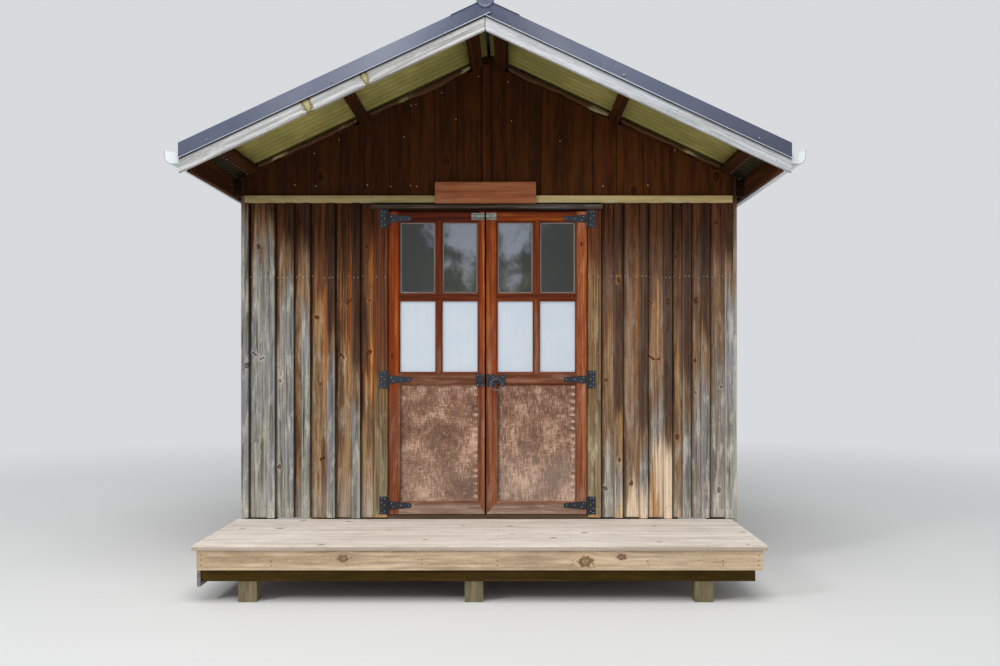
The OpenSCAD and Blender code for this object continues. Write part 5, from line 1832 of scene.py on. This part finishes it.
@dataclass
class Leaf:
    """One door leaf: stiles, rails, bars, beads, panes and the lower panel.

    Cols and rails are the edges of its boards along X and Z, from the first to the last.
    """

    name: str
    cols: Sequence[float]
    wears: dict[str, Wear]
    seed: int
    rails: Sequence[float] = (0.349, 0.429, 1.158, 1.241, 1.683, 1.734, 2.177, 2.244)
    thick: float = 0.040
    mould: float = 0.010
    tongue: float = 0.010
    panel: float = 0.009
    pane: float = 0.004
    putty: float = 0.008

    def build(self, finishes: Finishes) -> None:
        """Builds the leaf on its own body: boards, mouldings, panel and panes.

        The bottom corner at the meeting side is mitred: the cut is the line from the outer
        corner to the inner one.
        """
        rng = np.random.default_rng(self.seed)
        m, wears, c, r = self.mould, self.wears, self.cols, self.rails
        wood, deep = Pile(), (-self.thick, 0.0)
        left = self.name == "left"
        outer, way = (c[5], -1.0) if left else (c[0], 1.0)
        slant = (r[1] - m - r[0]) / ((c[5] - c[4] if left else c[1] - c[0]) - m)
        mitre = slanted(r[0] - way * outer * slant, way * slant)
        meeting = slanted(outer - way * r[0] / slant, -way / slant)
        feet, ends = (((r[0], mitre), (c[1] - m, meeting)) if left else
                      ((mitre, r[0]), (meeting, c[4] + m)))
        across = level(FACE_Y)
        board(wood, FACE, (c[0], c[1] - m), (feet[0], r[7]), deep, wears["left"], rng)
        board(wood, FACE, (c[4] + m, c[5]), (feet[1], r[7]), deep, wears["right"], rng)
        board(wood, across, (m - r[1], -r[0]), ends, deep, wears["foot"], rng)
        for low, high, key in ((r[2] + m, r[3] - m, "lock"), (r[4] + m, r[5] - m, "bar"),
                               (r[6] + m, r[7], "top")):
            board(wood, across, (-high, -low), (c[1] - m, c[4] + m), deep, wears[key], rng)
        for low, high in ((r[3] - m, r[4] + m), (r[5] - m, r[6] + m)):
            board(wood, FACE, (c[2] + m, c[3] - m), (low, high), deep, wears["muntin"], rng)
        openings = [(c[i], c[i + 1], r[k], r[k + 1], "moulding") for i in (1, 3) for k in (3, 5)]
        for x0, x1, z0, z1, key in openings + [(c[1], c[4], r[1], r[2], "bead")]:
            self.border(wood, (x0 - m, x1 + m), (z0 - m, z1 + m), self.profile(), wears[key], rng)
        wood.piece(f"{self.name}_leaf_frame", f"{self.name}_door", [finishes.door],
                   [f"{self.name}_door_frame"], "door_timber")
        self.infill(finishes, rng)

    def profile(self) -> Array:
        """Gives the moulding's outline as distance from the board and height from the face.

        After a small step it is a quarter of an ellipse, 8.8 mm wide and 10 mm deep, on the
        front and on the back.
        """
        turn = np.radians(np.linspace(0, 90, 7))
        curve = np.stack([0.0012 + (self.mould - 0.0012) * np.sin(turn),
                          -0.0125 + 0.0100 * np.cos(turn)], axis=1)
        front = np.concatenate([[(-0.0005, -0.0008), (0.0012, -0.0008)], curve])
        return np.concatenate([front, (front * (1.0, -1.0) - (0.0, self.thick))[::-1]])

    def border(self, pile: Pile, x: Span, z: Span, profile: Array, wear: Wear,
               rng: np.random.Generator) -> None:
        """Adds four mitred strips inside a rectangle.

        At distance d inwards, an upright runs from d above the foot to d below the top. The
        distance is a start plus or minus the place across.
        """
        d, w = profile[:, 0], profile[:, 1]
        across = level(FACE_Y)
        for place, u, (first, last), start, sign in (
                (FACE, x[0] + d, z, -x[0], 1.0), (FACE, x[1] - d, z, x[1], -1.0),
                (across, -z[0] - d, x, -z[0], -1.0), (across, d - z[1], x, z[1], 1.0)):
            ring = clockwise(np.stack([u, w], axis=1))
            wide = ring[:, 0] - ring[:, 0].mean() + ring[:, 1]
            marks = {"grain": grain_of(wide, wide + 1.0), **wear.marks(rng.random())}
            carried(pile, place, ring,
                    (slanted(first + start, sign), slanted(last - start, -sign)), marks)

    def infill(self, finishes: Finishes, rng: np.random.Generator) -> None:
        """Builds the panel, the panes and the putty lines round the upper panes."""
        c, r, t, mid = self.cols, self.rails, self.tongue, -self.thick / 2
        panel, clear, frost, putty = Pile(), Pile(), Pile(), Pile()
        board(panel, FACE, (c[1] - t, c[4] + t), (r[1] - t, r[2] + t),
              (mid - self.panel / 2, mid + self.panel / 2), self.wears["panel"], rng,
              radius=0.0005)
        for i in (1, 3):
            for k, pane in ((3, frost), (5, clear)):
                board(pane, FACE, (c[i] - t, c[i + 1] + t), (r[k] - t, r[k + 1] + t),
                      (mid - self.pane / 2, mid + self.pane / 2), Wear(), rng, radius=0.0003)
            for low, high in ((0.0021, 0.0048), (-0.0048, -0.0021)):
                ring = rounded((0.0, self.putty), (mid + low, mid + high), 0.001)
                self.border(putty, (c[i], c[i + 1]), (r[5], r[6]), ring, Wear(), rng)
        for pile, piece, material, nodes, slot in (
                (panel, "ply_panel", finishes.ply, [f"{self.name}_door_panel"], "door_panel"),
                (putty, "putty", finishes.putty, [], "door_timber"),
                (clear, "clear_panes", finishes.clear, [f"{self.name}_glass"], "door_glass"),
                (frost, "frosted_panes", finishes.frost, [f"{self.name}_glass"], "door_glass")):
            pile.piece(f"{self.name}_{piece}", f"{self.name}_door", [material], nodes, slot)


@dataclass
class Fittings:
    """Screw heads of the hinges, the bolt and the latch."""

    hinges: Sequence[float] = (2.200, 1.193, 0.405)
    pivots: Sequence[tuple[str, float]] = (("left", -0.632), ("right", 0.615))
    plate: Sequence[Span] = ((0.021, -0.038), (0.021, 0.002), (0.021, 0.042), (0.039, -0.046),
                             (0.039, -0.018), (0.039, 0.018), (0.039, 0.046))
    strap: Sequence[Span] = ((0.022, 0.012), (0.034, -0.010), (0.078, 0.0), (0.130, 0.0))
    face: float = FACE_Y - 0.003

    def build(self, finishes: Finishes) -> None:
        """Builds the screws on each body. The rows name a leaf, two X, a Z and how far off it."""
        fixed, leaves = Pile(), {"left": Pile(), "right": Pile()}
        for name, pivot in self.pivots:
            way = 1 if name == "left" else -1
            for z in self.hinges:
                for pile, places, sign, size in ((fixed, self.plate, -way, (0.0026, 0.0012)),
                                                 (leaves[name], self.strap, way,
                                                  (0.0030, 0.0014))):
                    heads(pile, [(pivot + sign * dx, self.face, z + dz) for dx, dz in places],
                          FRONT, *size)
        for name, pair, z, off, size in (
                ("left", (-0.092, -0.079), 2.213, 0.014, (0.003, 0.0015)),
                ("right", (0.013, 0.041), 2.213, 0.015, (0.003, 0.0015)),
                ("left", (-0.071, -0.042), 1.188, 0.030, (0.0035, 0.002)),
                ("right", (0.025, 0.087), 1.188, 0.022, (0.0035, 0.002))):
            spots = [(x, self.face, z + dz) for x in pair for dz in (-off, off)]
            heads(leaves[name], spots, FRONT, *size)
        fixed.piece("plate_screws", "house", [finishes.screw], slot="bolt_steel")
        for name, pile in leaves.items():
            pile.piece(f"{name}_screws", f"{name}_door", [finishes.screw], slot="bolt_steel")


@dataclass
class Frame:
    """The CAD nodes that stay as they are: a finish, the way its grain runs and its nodes."""

    nodes: Sequence[tuple[str, Run | None, Sequence[str]]] = (
        ("framing", Run.ALONG_X, ("floor_boards", "end_plates", "dwangs")),
        ("framing", Run.ALONG_Y, ("floor_joists", "side_plates", "ridge_board")),
        ("framing", Run.ALONG_Z, ("studs",)),
        # The ground finish paints the shade under the floor and deck into the framing's colour.
        ("ground", Run.ALONG_X, ("bearers", "deck_ledger")),
        ("ground", Run.ALONG_Y, ("deck_joists",)),
        ("stained", Run.ALONG_X, ("rafters",)),
        ("jamb", Run.ALONG_X, ("door_head",)),
        ("jamb", Run.ALONG_Z, ("door_jambs",)),
        ("posts", None, ("piles",)),
        ("sill", None, ("door_sill",)),
        ("black", None, ("left_straps", "right_straps", "hinge_plates", "latch_plate",
                         "latch_catch")),
        ("zinc", None, ("door_bolt", "bolt_keeper")),
        ("wire", None, ("ring_handle",)))

    def build(self, finishes: Finishes) -> None:
        """Puts its material in every slot of each node's object."""
        for finish, run, nodes in self.nodes:
            made = getattr(finishes, finish)
            material = made[run] if run else made
            for node in nodes:
                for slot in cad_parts[node].material_slots:
                    slot.material = material
                log.info("%s: %s", node, material.name)


@dataclass
class Studio:
    """A pale floor that fades into the sky, soft lamps and the photograph's camera."""

    floor_colours: tuple[Colour, Colour] = (rgb(226, 226, 225), rgb(221, 221, 220))
    backdrop: Colour = rgb(216, 218, 221)
    sky: Colour = (0.96, 0.98, 1.0, 1.0)
    sky_strength: float = 0.52

    def build(self) -> None:
        """Sets the stage."""
        scene = bpy.context.scene
        scene.view_settings.view_transform = "Standard"
        self.floor()
        self.world(scene)
        self.lamp("key_lamp", (-7.0, -8.0, 6.0), 2.0, 310.0)
        self.lamp("top_lamp", (0.5, -5.5, 8.5), 5.0, 430.0)
        self.lamp("fill_lamp", (6.0, -8.0, 3.0), 5.0, 40.0)
        data = bpy.data.cameras.new("camera")
        data.lens, data.sensor_width = 34.1, 36.0
        data.shift_x, data.shift_y = -0.015, 0.027
        camera = bpy.data.objects.new("camera", data)
        camera.location = (0.163, -7.236, 1.315)
        camera.rotation_euler = (math.radians(90), 0.0, 0.0)
        scene.collection.objects.link(camera)
        scene.camera = camera

    def floor(self) -> None:
        """Lays the floor. Away from the house it glows as the backdrop does."""
        material, net = surface("studio floor")
        here = net.here()
        x, y, _ = net.split(here)
        far = net.rise(net.math("SQRT", x * x + y * y), 1.8, 10.0)
        near = net.mix(*self.floor_colours, net.noise(here, scale=0.6, detail=2.0))
        net.coat(net.mix(near, rgb(0, 0, 0), far), 0.9,
                 more={"Emission Color": net.mix(rgb(0, 0, 0), self.backdrop, far),
                       "Emission Strength": 1.0, "Specular IOR Level": 0.0})
        mesh = bpy.data.meshes.new("studio_floor")
        size = 60.0
        mesh.from_pydata([(-size, -size, 0), (size, -size, 0), (size, size, 0), (-size, size, 0)],
                         [], [(0, 1, 2, 3)])
        mesh.materials.append(material)
        floor = bpy.data.objects.new("studio_floor", mesh)
        bpy.context.scene.collection.objects.link(floor)

    def world(self, scene: bpy.types.Scene) -> None:
        """Makes a world that lights softly and looks pale to the camera, glass and metal."""
        world = bpy.data.worlds.new("studio")
        scene.world = world
        world.use_nodes = True
        net = Net(world.node_tree)
        light = world.node_tree.nodes["Background"]
        light.inputs["Color"].default_value = self.sky
        light.inputs["Strength"].default_value = self.sky_strength
        pale = net.node("Background", {"Color": self.backdrop, "Strength": 1.0})
        path = net.node("LightPath", {})
        rays = [Field(net, path.outputs[f"Is {kind} Ray"])
                for kind in ("Camera", "Glossy", "Transmission")]
        seen = net.math("MAXIMUM", net.math("MAXIMUM", rays[0], rays[1]), rays[2])
        mixed = net.node("MixShader", {0: seen, 1: Field(net, light.outputs[0]),
                                       2: Field(net, pale.outputs[0])})
        out = world.node_tree.nodes["World Output"]
        world.node_tree.links.new(mixed.outputs[0], out.inputs["Surface"])

    def lamp(self, name: str, at: tuple[float, float, float], size: float, power: float) -> None:
        """Hangs a square lamp that looks at the doors."""
        data = bpy.data.lights.new(name, "AREA")
        data.size, data.energy = size, power
        lamp = bpy.data.objects.new(name, data)
        lamp.location = at
        away = np.array(at) - (0.0, -1.3, 1.4)
        yaw = math.atan2(away[0], -away[1])
        tilt = math.atan2(math.hypot(away[0], away[1]), away[2])
        lamp.rotation_euler = (tilt, 0.0, yaw)
        bpy.context.scene.collection.objects.link(lamp)


LEFT_WEARS = {
    "left": Wear(1.15, -9, 0.85, 0.11, ((0.4, 1.34),), lit=0.55),
    "right": Wear(1.60, -9, 0.6, -0.06, lit=1.0),
    "top": Wear(-9, -9, 0.0, 0.34),
    "bar": Wear(-9, -9, 0.1, 0.12),
    "lock": Wear(1.30, -9, 0.0, 0.16),
    "foot": Wear(1.0, 0.62, 0.0, 0.0),
    "muntin": Wear(1.55, -9, 0.2, 0.10),
    "moulding": Wear(1.1, -9, 0.2, 0.14),
    "bead": Wear(1.1, -9, 0.2, 0.06),
    "panel": Wear(warm=0.35),
}
RIGHT_WEARS = {
    "left": Wear(1.60, -9, 0.6, 0.10, lit=0.5, gleam=0.5, chill=0.2),
    "right": Wear(2.35, 0.40, 0.62, -0.30, ((0.5, 2.04),), lit=0.4, gleam=1.4),
    "top": Wear(-9, -9, 0.6, 0.04),
    "bar": Wear(-9, -9, 0.2, 0.08),
    "lock": Wear(1.30, -9, 0.1, 0.12),
    "foot": Wear(1.0, 0.58, 0.0, 0.0),
    "muntin": Wear(1.65, -9, 0.35, 0.04),
    "moulding": Wear(1.1, -9, 0.3, 0.10),
    "bead": Wear(1.1, -9, 0.3, 0.06),
    "panel": Wear(warm=0.9),
}


def main() -> None:
    """Builds the stage and every sub-assembly."""
    logging.basicConfig(level=logging.INFO, format="%(message)s")
    Studio().build()
    finishes = Finishes()
    parts = [Frame(), Deck(), FrontWall("left", LEFT_BOARDS, LEFT_BATTENS, 11),
             FrontWall("right", RIGHT_BOARDS, RIGHT_BATTENS, 12), FrontGable(),
             SideWall("left", -1, 21), SideWall("right", 1, 22), BackWall(), Surround(), Roof(),
             Leaf("left", (-0.629, -0.556, -0.337, -0.291, -0.072, -0.027), LEFT_WEARS, 81),
             Leaf("right", (-0.018, 0.055, 0.274, 0.320, 0.539, 0.612), RIGHT_WEARS, 82),
             Fittings()]
    for part in parts:
        part.build(finishes)


if __name__ == "__main__":
    main()
